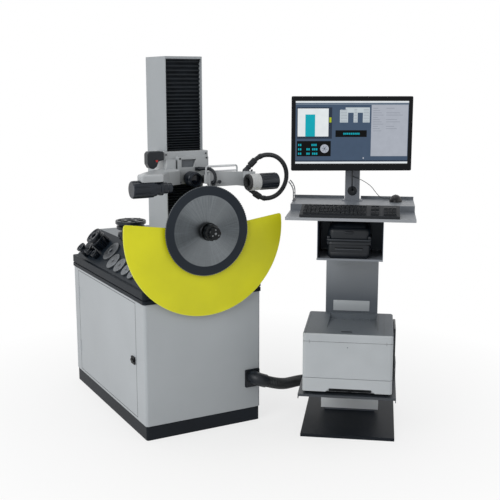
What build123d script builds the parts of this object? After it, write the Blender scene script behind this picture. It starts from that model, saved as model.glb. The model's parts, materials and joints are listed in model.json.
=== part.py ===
from build123d import *
from math import cos, pi, radians, sin, sqrt, tan
import os

os.makedirs("parts", exist_ok=True)

# Saw blade measuring machine with its operator console.
# Millimetres. The origin lies on the floor at the centre of the cabinet's footprint:
# +X to the right along the cabinet's front, +Y to the back, +Z up.

# Clearances shared by many pieces
running_fit = 0.05
sliding_gap = 0.3
panel_gap = 2.0

# Cabinet
cabinet_width = 590
cabinet_depth = 1010
cabinet_height = 571
cabinet_corner = 12
cabinet_wall = 4
plinth_height = 68
plinth_inset = 3
plinth_wall = 8
jamb_depth = 14

# Side door on the cabinet's left face
door_length = 821
door_height = 541
door_front = -395
door_sill = 14
door_sheet = 2
door_return = 16
hinge_radius = 5
hinge_pin_radius = 2.5
hinge_length = 66
latch_from_edge = 31
latch_height = 280
latch_width = 44
latch_face_height = 35
latch_shaft_radius = 6

# Top board and the raised cover on it
top_thickness = 58
top_overhang = 5
top_corner = 15
groove_height = 6
groove_depth = 6
cover_height = 131
cover_ledge_half = 152
cover_foot_half = 283
cover_length = 966
cover_sheet = 3

# Column
column_width = 185
column_depth = 230
column_front = -313
column_height = 897.5
column_wall = 4
column_cap = 11
frame_width = 160
frame_channel = 64
frame_back_gap = 12
frame_front = -254
frame_below_cap = 122.5
rail_width = 20
rail_height = 18
rail_spacing = 110
screw_radius = 10
screw_axis_y = -258
nut_radius = 22
motor_size = 42
motor_length = 76

# Bellows in the column's front
bellows_recess = 16
bellows_depth = 14
bellows_side_gap = 0.5
pleat_pitch = 16
bellows_foot = 12

# Spindle, blade and guard
spindle_above_cover = 127
blade_plane = -545
blade_radius = 205
blade_thickness = 3
blade_bore_radius = 15
tooth_count = 120
tooth_height = 2.6
flange_radius = 41
inner_flange_thickness = 8
shaft_radius = 16
shaft_nose_radius = 11
shaft_nose_length = 70
clamp_hub_radius = 33
clamp_hub_length = 12
clamp_rim_thickness = 8
knob_radius = 37
knob_hub_radius = 28
knob_length = 63
knob_lobes = 9
spindle_housing_radius = 52
spindle_nose_radius = 75
guard_radius = 393
guard_thickness = 4
guard_gap = 13
guard_rise_degrees = 8
guard_corner = 12
pedestal_width = 150

# Carriage, as it stands at rest
carriage_bottom = 1150
carriage_height = 148
carriage_width = 228
carriage_front = -327
carriage_side_gap = 1.5
carriage_side_back = -218
plate_thickness = 33
arm_camera_y = -545
left_camera_rise = 10
left_camera_radius = 37.5
right_camera_rise = 13
front_camera_radius = 34
ring_radius = 38
loop_hose_radius = 10

# Console: where it stands and how it is turned
console_x = 709.4
console_y = -642.8
console_turn = -36.82
base_thickness = 14
console_column_width = 250
console_column_depth = 150
console_column_x = 12
console_wall = 3
shelf_height = 232
shelf_thickness = 3
printer_width = 399
printer_depth = 401
printer_feet = 10
printer_drawer_height = 64
printer_body_height = 203
compartment_width = 298
compartment_depth = 228
compartment_drop = 198
tray_width = 580
tray_front = -284
tray_step = -45
tray_back = 200
tray_sheet = 3
tray_height = 1016
tray_rise = 28
tray_lip = 13
mast_width = 70
mast_depth = 40
mast_front = 110
monitor_width = 565
monitor_height = 345
monitor_above_tray = 185
monitor_turn = 9.67
conduit_radius = 27.5

# Heights and faces that follow from the sizes above
body_bottom = plinth_height
body_top = body_bottom + cabinet_height
board_top = body_top + top_thickness
cover_top = board_top + cover_height
column_top = cover_top + column_height
half_width = cabinet_width / 2
half_depth = cabinet_depth / 2
left_face = -half_width
front_face = -half_depth
column_back = column_front + column_depth
blade_back = blade_plane + blade_thickness / 2
blade_front = blade_plane - blade_thickness / 2
guard_back = blade_plane + guard_gap + guard_thickness + blade_thickness / 2
carriage_top = carriage_bottom + carriage_height
spindle_height = cover_top + spindle_above_cover
left_camera_height = carriage_bottom + left_camera_rise
right_camera_height = carriage_bottom + right_camera_rise
compartment_bottom = tray_height - compartment_drop
tray_top_back = tray_height + tray_rise
monitor_bottom = tray_height + monitor_above_tray


# Small helpers for plain forms
def block(x0, x1, y0, y1, z0, z1):
    centre = Pos((x0 + x1) / 2, (y0 + y1) / 2, (z0 + z1) / 2)
    return centre * Box(abs(x1 - x0), abs(y1 - y0), abs(z1 - z0))


def soft_block(x0, x1, y0, y1, z0, z1, radius):
    plan = Pos((x0 + x1) / 2, (y0 + y1) / 2, z0) * RectangleRounded(x1 - x0, y1 - y0, radius)
    return extrude(plan, z1 - z0)


def rod_x(y, z, x0, x1, radius):
    return Pos((x0 + x1) / 2, y, z) * Rot(0, 90, 0) * Cylinder(radius, abs(x1 - x0))


def rod_y(x, z, y0, y1, radius):
    return Pos(x, (y0 + y1) / 2, z) * Rot(90, 0, 0) * Cylinder(radius, abs(y1 - y0))


def rod_z(x, y, z0, z1, radius):
    return Pos(x, y, (z0 + z1) / 2) * Cylinder(radius, abs(z1 - z0))


def turned(profile):
    # profile: (radius, height) pairs of a closed outline beside the axis
    outline = make_face(Polyline([(radius, 0, height) for radius, height in profile], close=True))
    return revolve(outline, Axis.Z)


def prism(points, axis, start, end):
    # a closed outline pushed along one axis; points lie in the plane of the other two
    place = {
        "x": lambda a, b: (start, a, b),
        "y": lambda a, b: (a, start, b),
        "z": lambda a, b: (a, b, start),
    }[axis]
    along = {"x": (1, 0, 0), "y": (0, 1, 0), "z": (0, 0, 1)}[axis]
    outline = make_face(Polyline([place(a, b) for a, b in points], close=True))
    return extrude(outline, end - start, dir=along)


def raised(points, height):
    # lifts flat points, given above a datum, to that datum's height
    return [(across, height + up) for across, up in points]


def rounded(shape, axis, radius):
    # rounds every edge that runs along the axis
    return fillet(shape.edges().filter_by(axis), radius)


# Cabinet with its plinth and hinges
def make_plinth():
    outer = soft_block(
        left_face + plinth_inset, half_width - plinth_inset,
        front_face + plinth_inset, half_depth - plinth_inset,
        0, plinth_height, cabinet_corner,
    )
    inner = block(
        left_face + plinth_inset + plinth_wall, half_width - plinth_inset - plinth_wall,
        front_face + plinth_inset + plinth_wall, half_depth - plinth_inset - plinth_wall,
        plinth_wall, plinth_height,
    )
    return outer - inner


door_rear = door_front + door_length
door_bottom = body_bottom + door_sill
door_top = door_bottom + door_height
hinge_y = door_rear + panel_gap / 2
hinge_heights = [door_bottom + 90, door_top - 90 - hinge_length]
hose_height = 222
hose_x = 250
hose_hole_radius = conduit_radius - 4


# the fixed knuckles sit at both ends of each hinge, the door's knuckle between them
knuckle_spans = ((0, 0.33), (0.67, 1))


def hinge_knuckle(z0, fraction_start, fraction_end, radius):
    low = z0 + hinge_length * fraction_start
    high = z0 + hinge_length * fraction_end
    return rod_z(left_face, hinge_y, low, high, radius)


def make_cabinet_shell():
    outer = soft_block(left_face, half_width, front_face, half_depth, body_bottom, body_top, cabinet_corner)
    inner = block(
        left_face + cabinet_wall, half_width - cabinet_wall,
        front_face + cabinet_wall, half_depth - cabinet_wall,
        body_bottom + cabinet_wall, body_top,
    )
    shell = outer - inner
    jamb = block(
        left_face + cabinet_wall, left_face + cabinet_wall + jamb_depth,
        door_front - panel_gap - cabinet_wall, door_rear + panel_gap + cabinet_wall,
        door_bottom - panel_gap - cabinet_wall, door_top + panel_gap + cabinet_wall,
    )
    opening = block(
        left_face - 1, left_face + cabinet_wall + jamb_depth + 1,
        door_front - panel_gap, door_rear + panel_gap,
        door_bottom - panel_gap, door_top + panel_gap,
    )
    shell = shell + jamb - opening
    for z0 in hinge_heights:
        shell -= rod_z(
            left_face, hinge_y, z0 - sliding_gap, z0 + hinge_length + sliding_gap, hinge_radius + sliding_gap,
        )
    shell -= rod_y(hose_x, hose_height, front_face - 1, front_face + cabinet_wall + 1, hose_hole_radius)
    return shell


def make_door_hinges():
    hinges = []
    for z0 in hinge_heights:
        hinge = hinge_knuckle(z0, 0, 1, hinge_pin_radius)
        hinge += [hinge_knuckle(z0, start, end, hinge_radius) for start, end in knuckle_spans]
        for start, end in knuckle_spans:
            reach = hinge_knuckle(z0, start, end, hinge_radius + sliding_gap)
            low = z0 + hinge_length * start
            high = z0 + hinge_length * end
            strap = block(left_face + 1, left_face + 3, hinge_y, hinge_y + 2 * hinge_radius, low, high)
            hinge += reach & strap
        hinges.append(hinge)
    return Compound(hinges)


def make_side_door():
    leaf = block(
        left_face, left_face + door_sheet + door_return, door_front, door_rear, door_bottom, door_top,
    )
    hollow = block(
        left_face + door_sheet, left_face + door_sheet + door_return + 1,
        door_front + door_sheet, door_rear - door_sheet,
        door_bottom + door_sheet, door_top - door_sheet,
    )
    leaf -= hollow
    latch_y = door_front + latch_from_edge
    latch_z = body_bottom + latch_height
    leaf += rod_x(
        latch_y, latch_z, left_face + 1, left_face + door_sheet + door_return, latch_shaft_radius + 6,
    )
    leaf -= rod_x(latch_y, latch_z, left_face - 1, left_face + 30, latch_shaft_radius + running_fit)
    for z0 in hinge_heights:
        for start, end in knuckle_spans:
            low = z0 + hinge_length * start - sliding_gap
            high = z0 + hinge_length * end + sliding_gap
            leaf -= rod_z(left_face, hinge_y, low, high, hinge_radius + sliding_gap)
        low = z0 + hinge_length * knuckle_spans[0][1] + sliding_gap
        high = z0 + hinge_length * knuckle_spans[1][0] - sliding_gap
        leaf += rod_z(left_face, hinge_y, low, high, hinge_radius)
        leaf -= rod_z(left_face, hinge_y, low - 1, high + 1, hinge_pin_radius + running_fit)
    return leaf


def make_door_latch():
    latch_y = door_front + latch_from_edge
    latch_z = body_bottom + latch_height
    face = block(
        left_face - 6, left_face - sliding_gap,
        latch_y - latch_width / 2, latch_y + latch_width / 2,
        latch_z - latch_face_height / 2, latch_z + latch_face_height / 2,
    )
    face = fillet(face.edges().filter_by(Axis.X), 5)
    bar = block(left_face - 11, left_face - 5, latch_y - 17, latch_y + 17, latch_z - 5, latch_z + 5)
    inner = left_face + door_sheet + door_return
    shaft = rod_x(latch_y, latch_z, left_face - 5, inner + 6, latch_shaft_radius)
    cam = block(inner + 1, inner + 5, latch_y - 8, latch_y + 8, latch_z - 8, latch_z + latch_from_edge + 10)
    return face + bar + shaft + cam


# The machine's own electrics behind the side door
def make_control_unit():
    floor = body_bottom + cabinet_wall
    case = rounded(block(-120, 240, -330, 60, floor, floor + 210), Axis.Z, 6)
    fins = [
        block(-100 + 26 * step, -92 + 26 * step, -300, 30, floor + 209, floor + 222) for step in range(12)
    ]
    return case + fins


# Top board, sloped cover and what is stored on it
def make_top_board():
    x = half_width + top_overhang
    y = half_depth + top_overhang
    groove_low = body_top + 17
    groove_high = groove_low + groove_height
    lower = soft_block(-x, x, -y, y, body_top, groove_low, top_corner)
    neck = soft_block(
        -x + groove_depth, x - groove_depth, -y + groove_depth, y - groove_depth,
        groove_low, groove_high, top_corner - groove_depth,
    )
    upper = soft_block(-x, x, -y, y, groove_high, board_top, top_corner)
    upper = chamfer(upper.faces().sort_by(Axis.Z)[-1].edges(), 2)
    return lower + neck + upper


bed_half_width = 140
bed_back = -60
bed_front = -470
bed_top = cover_top - cover_sheet


def make_machine_bed():
    bed = block(-bed_half_width, bed_half_width, bed_front, bed_back, board_top, bed_top)
    return rounded(bed, Axis.Z, 20)


def make_top_cover():
    outside = [
        (-cover_foot_half, board_top), (-cover_ledge_half, cover_top),
        (cover_ledge_half, cover_top), (cover_foot_half, board_top),
    ]
    inside = [
        (-cover_foot_half + 1.41 * cover_sheet, board_top), (-cover_ledge_half + 0.41 * cover_sheet, bed_top),
        (cover_ledge_half - 0.41 * cover_sheet, bed_top), (cover_foot_half - 1.41 * cover_sheet, board_top),
    ]
    y0 = -cover_length / 2
    y1 = cover_length / 2
    cover = prism(outside, "y", y0, y1) - prism(inside, "y", y0 + cover_sheet, y1 - cover_sheet)
    cover -= block(
        -frame_width / 2, frame_width / 2, frame_foot_front, frame_back, bed_top - 1, cover_top + 1,
    )
    half = pedestal_width / 2
    cover -= block(-half, half, pedestal_foot_front, pedestal_back, bed_top - 1, cover_top + 1)
    return cover


slope_length = (cover_foot_half - cover_ledge_half) * sqrt(2)


def on_slope(along, y):
    # a place on the left slope: its own +Z stands square to the slope, along is counted from the foot
    shift = along / sqrt(2)
    return Pos(-cover_foot_half + shift, y, board_top + shift) * Rot(0, -45, 0)


# y, distance up the slope, radius of each disc laid on the slope
slope_discs = [(123, 99, 53.5), (15, 58, 44), (-83, 54, 40), (-181, 50, 34), (-262, 42, 27.5)]
disc_thickness = 9


def make_stored_discs():
    discs = []
    for y, along, radius in slope_discs:
        disc = turned([
            (0, 0), (radius - 1, 0), (radius, 1), (radius, disc_thickness - 1), (radius - 1, disc_thickness),
            (0.34 * radius, disc_thickness), (0.31 * radius, disc_thickness - 1.5),
            (0.2 * radius, disc_thickness - 1.5),
            (0.2 * radius, disc_thickness - 3), (0, disc_thickness - 3),
        ])
        discs.append(on_slope(along, y) * disc)
    return Compound(discs)


# y, distance up the slope, flange radius, height of each adapter stood on the slope
slope_adapters = [(262, 113, 45, 85), (286, 45, 24, 46), (221, 49, 17, 30), (355, 31, 18, 70)]


def make_stored_adapters():
    adapters = []
    for y, along, radius, height in slope_adapters:
        rim = 0.1 * height
        body = turned([
            (0, 0), (0.52 * radius, 0), (0.78 * radius, height - 4.2 * rim),
            (0.78 * radius, height - 3.4 * rim),
            (0.94 * radius, height - 3.4 * rim), (0.94 * radius, height - 2.4 * rim),
            (0.72 * radius, height - 2.4 * rim),
            (0.72 * radius, height - 1.2 * rim), (radius, height - 1.2 * rim), (radius, height),
            (0.86 * radius, height), (0.8 * radius, height - 0.5 * rim), (0.3 * radius, height - 0.5 * rim),
            (0.3 * radius, height - 2 * rim), (0, height - 2 * rim),
        ])
        rib = block(0.4 * radius, 0.9 * radius, -0.05 * radius, 0.05 * radius, 0, height - 3.3 * rim)
        body += [Rot(0, 0, 30 * step) * rib for step in range(12)]
        adapters.append(on_slope(along, y) * body)
    return Compound(adapters)


stack_x = -108
stack_y = 125
stack_radius = 77.5


def make_disc_stack():
    # two pierced discs on one black stand that tapers down to the ledge
    stand = turned([
        (0, 0), (34, 0), (36, 22), (58, 48), (70, 62), (70, 66), (20, 66), (20, 90), (0, 90),
    ])
    lower = Pos(0, 0, 66) * (Cylinder(74, 9, align=(Align.CENTER, Align.CENTER, Align.MIN)))
    lower -= Pos(0, 0, 60) * Cylinder(20, 30, align=(Align.CENTER, Align.CENTER, Align.MIN))
    upper = Pos(0, 0, 84) * Cylinder(stack_radius, 10, align=(Align.CENTER, Align.CENTER, Align.MIN))
    upper -= Pos(0, 0, 80) * Cylinder(20, 30, align=(Align.CENTER, Align.CENTER, Align.MIN))
    slot = Pos(46, 0, 0) * extrude(SlotArc(CenterArc((0, 0, 0), 12, 0, 180), 9), 200)
    slots = [Rot(0, 0, 60 * step) * Pos(0, 0, 40) * slot for step in range(6)]
    upper -= slots
    posts = [Rot(0, 0, 120 * step + 30) * rod_z(28, 0, 75, 84, 5) for step in range(3)]
    place = Pos(stack_x, stack_y, cover_top)
    return Compound([place * stand, place * lower, place * (upper + posts)])


# Column: outer housing, inner frame, rails and drive
def make_column_housing():
    x = column_width / 2
    shell = rounded(block(-x, x, column_front, column_back, cover_top, column_top), Axis.Z, 3)
    shell -= block(
        -x + column_wall, x - column_wall, column_front - 1, column_back - column_wall,
        cover_top - 1, column_top - column_cap,
    )
    return shell


frame_top = column_top - frame_below_cap
frame_back = column_back - frame_back_gap
frame_foot_front = screw_axis_y - 20
rail_front = frame_front - rail_height


def make_column_frame():
    x = frame_width / 2
    c = frame_channel / 2
    depth = 52
    outline = [
        (-x, frame_front), (-c, frame_front), (-c, frame_front + depth), (c, frame_front + depth),
        (c, frame_front), (x, frame_front), (x, frame_back), (-x, frame_back),
    ]
    frame = prism(outline, "z", bed_top, frame_top)
    plate = block(-x, x, screw_axis_y - motor_size / 2, frame_back, frame_top, frame_top + 12)
    foot = block(-c, c, frame_foot_front, frame_front + depth, bed_top, bed_top + 30)
    frame = frame + plate + foot
    hole = rod_z(0, screw_axis_y, bed_top + 10, frame_top + 20, screw_radius * 0.7 + running_fit)
    return frame - hole


def make_guide_rails():
    rails = []
    for side in (-1, 1):
        middle = side * rail_spacing / 2
        half = rail_width / 2
        neck = half - 3.5
        outline = [
            (middle - half, frame_front), (middle + half, frame_front), (middle + half, frame_front - 6),
            (middle + neck, frame_front - 10), (middle + half, rail_front + 4), (middle + half, rail_front),
            (middle - half, rail_front), (middle - half, rail_front + 4), (middle - neck, frame_front - 10),
            (middle - half, frame_front - 6),
        ]
        rails.append(prism(outline, "z", bed_top + 40, frame_top - 5))
    return Compound(rails)


screw_low = bed_top + 10
screw_high = frame_top + 12


def make_ball_screw():
    end = screw_radius * 0.7
    screw = rod_z(0, screw_axis_y, bed_top + 30.3, frame_top - 0.3, screw_radius)
    screw += rod_z(0, screw_axis_y, screw_low + 0.3, bed_top + 31, end)
    screw += rod_z(0, screw_axis_y, frame_top - 1, screw_high, end)
    return screw


def make_z_motor():
    half = motor_size / 2
    body = block(-half, half, screw_axis_y - half, screw_axis_y + half, screw_high, screw_high + motor_length)
    body = rounded(body, Axis.Z, 4)
    body -= rod_z(0, screw_axis_y, screw_high - 1, screw_high + 4, 9)
    body += rod_z(0, screw_axis_y, screw_high + motor_length - 1, screw_high + motor_length + 4, 10)
    return body


# Bellows: folded cloth in a zigzag, closed top and bottom by a thin end frame
bellows_front = column_front + bellows_recess
bellows_half = column_width / 2 - column_wall - bellows_side_gap
bellows_top = column_top - column_cap


def make_bellows(low, high, count):
    pitch = (high - low) / count
    front = []
    back = []
    wall = 2.2
    for fold in range(count):
        z = low + fold * pitch
        front += [(bellows_front + bellows_depth - wall, z), (bellows_front, z + pitch / 2)]
        back += [(bellows_front + bellows_depth, z), (bellows_front + wall, z + pitch / 2)]
    front.append((bellows_front + bellows_depth - wall, high))
    back.append((bellows_front + bellows_depth, high))
    outline = front + back[::-1]
    return prism(outline, "x", -bellows_half, bellows_half)


def make_bellows_upper():
    count = round((bellows_top - carriage_top) / pleat_pitch)
    return make_bellows(carriage_top, bellows_top, count)


def make_bellows_lower():
    low = cover_top + bellows_foot
    count = round((carriage_bottom - low) / pleat_pitch)
    return make_bellows(low, carriage_bottom, count)


# Spindle, blade and guard
pedestal_front = guard_back + 12
pedestal_back = frame_front - 70
pedestal_foot_front = bed_front + 10
housing_front = guard_back


def make_spindle_housing():
    z = spindle_height
    barrel = rod_y(0, z, pedestal_front - 2, pedestal_back, spindle_housing_radius)
    nose = rod_y(0, z, housing_front, housing_front + 12, spindle_nose_radius)
    foot = [
        (-pedestal_width / 2, bed_top), (pedestal_width / 2, bed_top), (pedestal_width / 2, bed_top + 22),
        (38, z - 30), (-38, z - 30), (-pedestal_width / 2, bed_top + 22),
    ]
    housing = barrel + nose + prism(foot, "y", pedestal_foot_front, pedestal_back)
    housing -= rod_y(0, z, housing_front - 1, pedestal_back - 12, bearing_radius)
    return housing


bearing_radius = 36
bearing_width = 18
bearing_places = [housing_front + 4, pedestal_back - 12 - bearing_width]


def make_spindle_bearings():
    rings = []
    for y in bearing_places:
        ring = rod_y(0, spindle_height, y, y + bearing_width, bearing_radius)
        ring -= rod_y(0, spindle_height, y - 1, y + bearing_width + 1, shaft_radius + running_fit)
        rings.append(ring)
    return Compound(rings)


shaft_end = bearing_places[1] + bearing_width - 1
nose_end = blade_front - shaft_nose_length


def make_spindle_shaft():
    z = spindle_height
    shaft = rod_y(0, z, blade_back, shaft_end, shaft_radius)
    shaft += rod_y(0, z, blade_back, blade_back + inner_flange_thickness, flange_radius)
    shaft += rod_y(0, z, blade_front - 2, blade_back, blade_bore_radius - running_fit)
    shaft += rod_y(0, z, nose_end, blade_back, shaft_nose_radius)
    return shaft


def make_saw_blade():
    # fine teeth: a steep face and a slower back for each
    points = []
    for tooth in range(tooth_count):
        turn = 2 * pi / tooth_count
        start = tooth * turn
        for part, radius in (
            (0, blade_radius - tooth_height), (0.12, blade_radius), (0.42, blade_radius - 0.5),
        ):
            angle = start + part * turn
            points.append((radius * cos(angle), radius * sin(angle) + spindle_height))
    blade = prism(points, "y", blade_front, blade_back)
    return blade - rod_y(0, spindle_height, blade_front - 1, blade_back + 1, blade_bore_radius)


def make_blade_guard():
    rise = radians(guard_rise_degrees)
    tip_x = guard_radius * cos(rise)
    tip_z = spindle_height + guard_radius * sin(rise)
    y = guard_back - guard_thickness
    rim = ThreePointArc((-tip_x, y, tip_z), (0, y, spindle_height - guard_radius), (tip_x, y, tip_z))
    sides = Polyline((tip_x, y, tip_z), (0, y, spindle_height), (-tip_x, y, tip_z))
    plate = extrude(make_face([rim, sides]), guard_thickness, dir=(0, 1, 0))
    corners = plate.edges().filter_by(Axis.Y).group_by(Axis.Z)[-1]
    plate = fillet(corners, guard_corner)
    plate += rod_y(0, spindle_height, y, guard_back, spindle_nose_radius)
    return plate - rod_y(0, spindle_height, y - 1, guard_back + 1, flange_radius + 2)


rim_front = blade_front - clamp_hub_length - clamp_rim_thickness


def make_clamp_flange():
    profile = [
        (shaft_nose_radius + running_fit, 0), (clamp_hub_radius + 4, 0), (clamp_hub_radius, 3),
        (clamp_hub_radius, clamp_hub_length), (flange_radius - 2, clamp_hub_length),
        (flange_radius, clamp_hub_length + 2), (flange_radius, clamp_hub_length + clamp_rim_thickness - 1),
        (flange_radius - 1, clamp_hub_length + clamp_rim_thickness),
        (shaft_nose_radius + running_fit, clamp_hub_length + clamp_rim_thickness),
    ]
    flange = turned(profile)
    recess = Cylinder(blade_bore_radius + 0.5, 3, align=(Align.CENTER, Align.CENTER, Align.MIN))
    flange -= recess
    return Pos(0, blade_front, spindle_height) * Rot(90, 0, 0) * flange


def make_clamp_knob():
    hub = turned([
        (0, 0), (knob_hub_radius - 4, 0), (knob_hub_radius - 4, 8), (knob_radius - 1, 12), (knob_radius, 14),
        (knob_radius, 34), (knob_radius - 1, 36), (knob_hub_radius, 40),
        (knob_hub_radius, knob_length - 2), (knob_hub_radius - 2, knob_length), (0, knob_length),
    ])
    notch = Pos(knob_radius + 4, 0, 8) * Cylinder(8, 34, align=(Align.CENTER, Align.CENTER, Align.MIN))
    step = 360 / knob_lobes
    knob = hub - [Rot(0, 0, step * lobe) * notch for lobe in range(knob_lobes)]
    groove = Pos(knob_hub_radius + 1.5, 0, 40) * Cylinder(
        4, 40, align=(Align.CENTER, Align.CENTER, Align.MIN),
    )
    knob -= [Rot(0, 0, step * (lobe + 0.5)) * groove for lobe in range(knob_lobes)]
    hole_depth = shaft_nose_length - clamp_hub_length - clamp_rim_thickness + 2
    knob -= Pos(0, 0, -1) * Cylinder(
        shaft_nose_radius + running_fit, hole_depth + 1, align=(Align.CENTER, Align.CENTER, Align.MIN)
    )
    return Pos(0, rim_front, spindle_height) * Rot(90, 0, 0) * knob


# Carriage that rides up and down the column
carriage_half = carriage_width / 2
plate_right = 98
bridge_front = column_front - 3
block_front = rail_front - 8
block_length = 40


def make_carriage_casting():
    z0 = carriage_bottom
    z1 = carriage_top
    inner_half = column_width / 2 + carriage_side_gap
    slab = block(-carriage_half, carriage_half, carriage_front, carriage_side_back, z0, z1)
    slab = rounded(slab, Axis.Z, 8)
    slab = fillet(slab.faces().sort_by(Axis.Z)[-1].edges(), 4)
    slab -= block(-inner_half, inner_half, bridge_front, column_back, z0 - 1, z1 + 1)
    # the bridge goes in between the column's walls to the guide blocks
    bridge_half = column_width / 2 - column_wall - 4
    slab += block(-bridge_half, bridge_half, bridge_front - 1, block_front, z0 + 1, z1 - 1)
    # raised front plate with its slanted recess
    plate = block(-54, plate_right, plate_front, carriage_front + 1, z0, z1 - 24)
    plate = fillet(plate.edges().filter_by(Axis.Y), 5)
    slant = raised([(-38, 76), (24, 76), (36, 112), (-38, 112)], z0)
    recess = prism(slant, "y", plate_front - 1, plate_front + 12)
    casting = slab + plate - recess
    return casting + make_left_arm()


def make_left_arm():
    # sculpted arm from the slab's lower left forward to the left camera
    top = carriage_bottom + 72
    base = make_face(Polyline([
        (-60, carriage_front + 2), (-112, carriage_front + 22), (-190, -375), (-268, -452), (-318, -520),
        (-318, -568),
        (-214, -568), (-196, -520), (-132, -432), (-60, -398),
    ], close=True))
    low = carriage_bottom + 4
    arm = Pos(0, 0, low) * extrude(base, top - low)
    arm = fillet(arm.edges().filter_by(Axis.Z), 11)
    arm = fillet(arm.faces().sort_by(Axis.Z)[-1].edges(), 9)
    # concave shoulder that sweeps up from the arm to the slab
    sweep_up = raised([(-112, -6), (-60, -6), (-60, 40), (-104, 40)], top)
    shoulder = prism(sweep_up, "y", carriage_front - 25, carriage_front + 4)
    arm += fillet(shoulder.edges().filter_by(Axis.Z), 6)
    saddle = rod_x(arm_camera_y, left_camera_height, -400, -150, left_camera_radius + 0.3)
    lower_cut = block(-400, -150, -600, arm_camera_y + 70, carriage_bottom - 1, left_camera_height - 8)
    return arm - saddle - lower_cut


def make_guide_blocks():
    blocks = []
    heights = (carriage_bottom + 8, carriage_top - 8 - block_length)
    for side in (-1, 1):
        middle = side * rail_spacing / 2
        half = rail_width / 2 + sliding_gap
        neck = rail_width / 2 - 3.5 + sliding_gap
        for low in heights:
            body = block(middle - 22, middle + 22, block_front, frame_front - 3, low, low + block_length)
            slot = [
                (middle - half, frame_front + 1), (middle + half, frame_front + 1),
                (middle + half, frame_front - 6 - sliding_gap),
                (middle + neck, frame_front - 10), (middle + half, rail_front + 4 + sliding_gap),
                (middle + half, rail_front - sliding_gap), (middle - half, rail_front - sliding_gap),
                (middle - half, rail_front + 4 + sliding_gap), (middle - neck, frame_front - 10),
                (middle - half, frame_front - 6 - sliding_gap),
            ]
            blocks.append(body - prism(slot, "z", low - 1, low + block_length + 1))
    middle_z = (carriage_bottom + carriage_top) / 2
    nut = rod_z(0, screw_axis_y, middle_z - 28, middle_z + 28, nut_radius)
    nut += block(-26, 26, block_front, screw_axis_y - 12, middle_z - 22, middle_z + 22)
    nut -= rod_z(0, screw_axis_y, middle_z - 30, middle_z + 30, screw_radius + running_fit)
    blocks.append(nut)
    return Compound(blocks)


button_x = -152
button_z = carriage_bottom + 108
grip_front = -338


def make_grip_handle():
    # black grip on the slab's left side: a rounded lobe and a level body
    outline = raised([
        (-195, 140), (-186, 151), (-120, 151), (-114.5, 146), (-114.5, 112), (-140, 106),
        (-150, 82), (-166, 72), (-184, 76), (-195, 96),
    ], carriage_bottom)
    lobe = prism(outline, "y", grip_front, carriage_front + 30)
    lobe = fillet(lobe.edges().filter_by(Axis.Y), 5)
    lobe = fillet(lobe.faces().sort_by(Axis.Y)[0].edges(), 4)
    lobe -= rod_y(button_x, button_z, grip_front - 1, grip_front + 14, 9 + running_fit)
    bolt = rod_x(carriage_front + 16, carriage_bottom + 130, -116, -carriage_half, 9)
    return lobe + bolt


def make_release_button():
    body = rod_y(button_x, button_z, grip_front - 3, grip_front + 9, 9)
    wedge = prism([
        (button_x - 6, button_z + 4), (button_x + 6, button_z + 4), (button_x, button_z - 6),
    ], "y", grip_front - 5, grip_front - 2)
    return body + wedge


def fluted_barrel(radius, length, flutes):
    # camera housing with shallow flats between its ridges
    body = Cylinder(radius, length, align=(Align.CENTER, Align.CENTER, Align.MIN))
    body = chamfer(body.edges().sort_by(Axis.Z)[-1], 3)
    flute = Pos(radius + 1.4, 0, 6) * Box(
        6, radius * 0.32, length, align=(Align.CENTER, Align.CENTER, Align.MIN),
    )
    return body - [Rot(0, 0, 360 / flutes * step) * flute for step in range(flutes)]


def make_left_camera():
    camera = fluted_barrel(left_camera_radius, 96, 10)
    place = Pos(-260, arm_camera_y, left_camera_height)
    barrel = turned([
        (0, 0), (33, 0), (33, 14), (28, 16), (28, 30), (31, 32), (31, 44), (24, 48), (24, 66), (21, 70),
        (21, 88),
        (17, 90), (17, 84), (0, 84),
    ])
    return place * Rot(0, -90, 0) * camera + place * Rot(0, 90, 0) * barrel


front_camera_z = carriage_bottom + 25


def make_front_camera():
    profile = [
        (0, 0), (front_camera_radius - 4, 0), (front_camera_radius - 4, 12), (front_camera_radius, 14),
        (front_camera_radius, 62), (front_camera_radius - 3, 65), (front_camera_radius - 3, 78),
        (front_camera_radius - 8, 80), (front_camera_radius - 11, 72), (0, 72),
    ]
    return Pos(0, plate_front, front_camera_z) * Rot(90, 0, 0) * turned(profile)


side_light_y = -410


def make_side_light():
    # ribbed barrel beside the front camera that ends in a pale ring
    start = front_camera_radius - 4
    length = light_end - start
    profile = [(0, 0)]
    for rib in range(4):
        profile += [(17, 4 * rib), (17, 4 * rib + 2), (15, 4 * rib + 3)]
    profile += [(19, 18), (19, length - 1), (18, length), (0, length)]
    light = Pos(start, side_light_y, front_camera_z - 3) * Rot(0, 90, 0) * turned(profile)
    return light - rod_y(0, front_camera_z, side_light_y - 40, side_light_y + 60, front_camera_radius)


gooseneck_x = 46
gooseneck_z = carriage_bottom + 67
plate_front = carriage_front - plate_thickness
light_end = 66
gooseneck_route = [
    (gooseneck_x, plate_front - 8, gooseneck_z),
    (gooseneck_x, plate_front - 30, gooseneck_z + 5),
    (57, plate_front - 46, gooseneck_z + 8),
    (71, plate_front - 51, gooseneck_z - 9),
    (74, plate_front - 50, gooseneck_z - 33),
    (74, plate_front - 50, gooseneck_z - 55),
]


def cord_radii(points):
    # each corner takes 0.45 of its shorter run, divided by the tangent of half the turn
    radii = []
    for before, corner, after in zip(points, points[1:], points[2:]):
        run_in = Vector(*corner) - Vector(*before)
        run_out = Vector(*after) - Vector(*corner)
        turn = radians(run_in.get_angle(run_out))
        radii.append(0.45 * min(run_in.length, run_out.length) / tan(turn / 2))
    return radii


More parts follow.
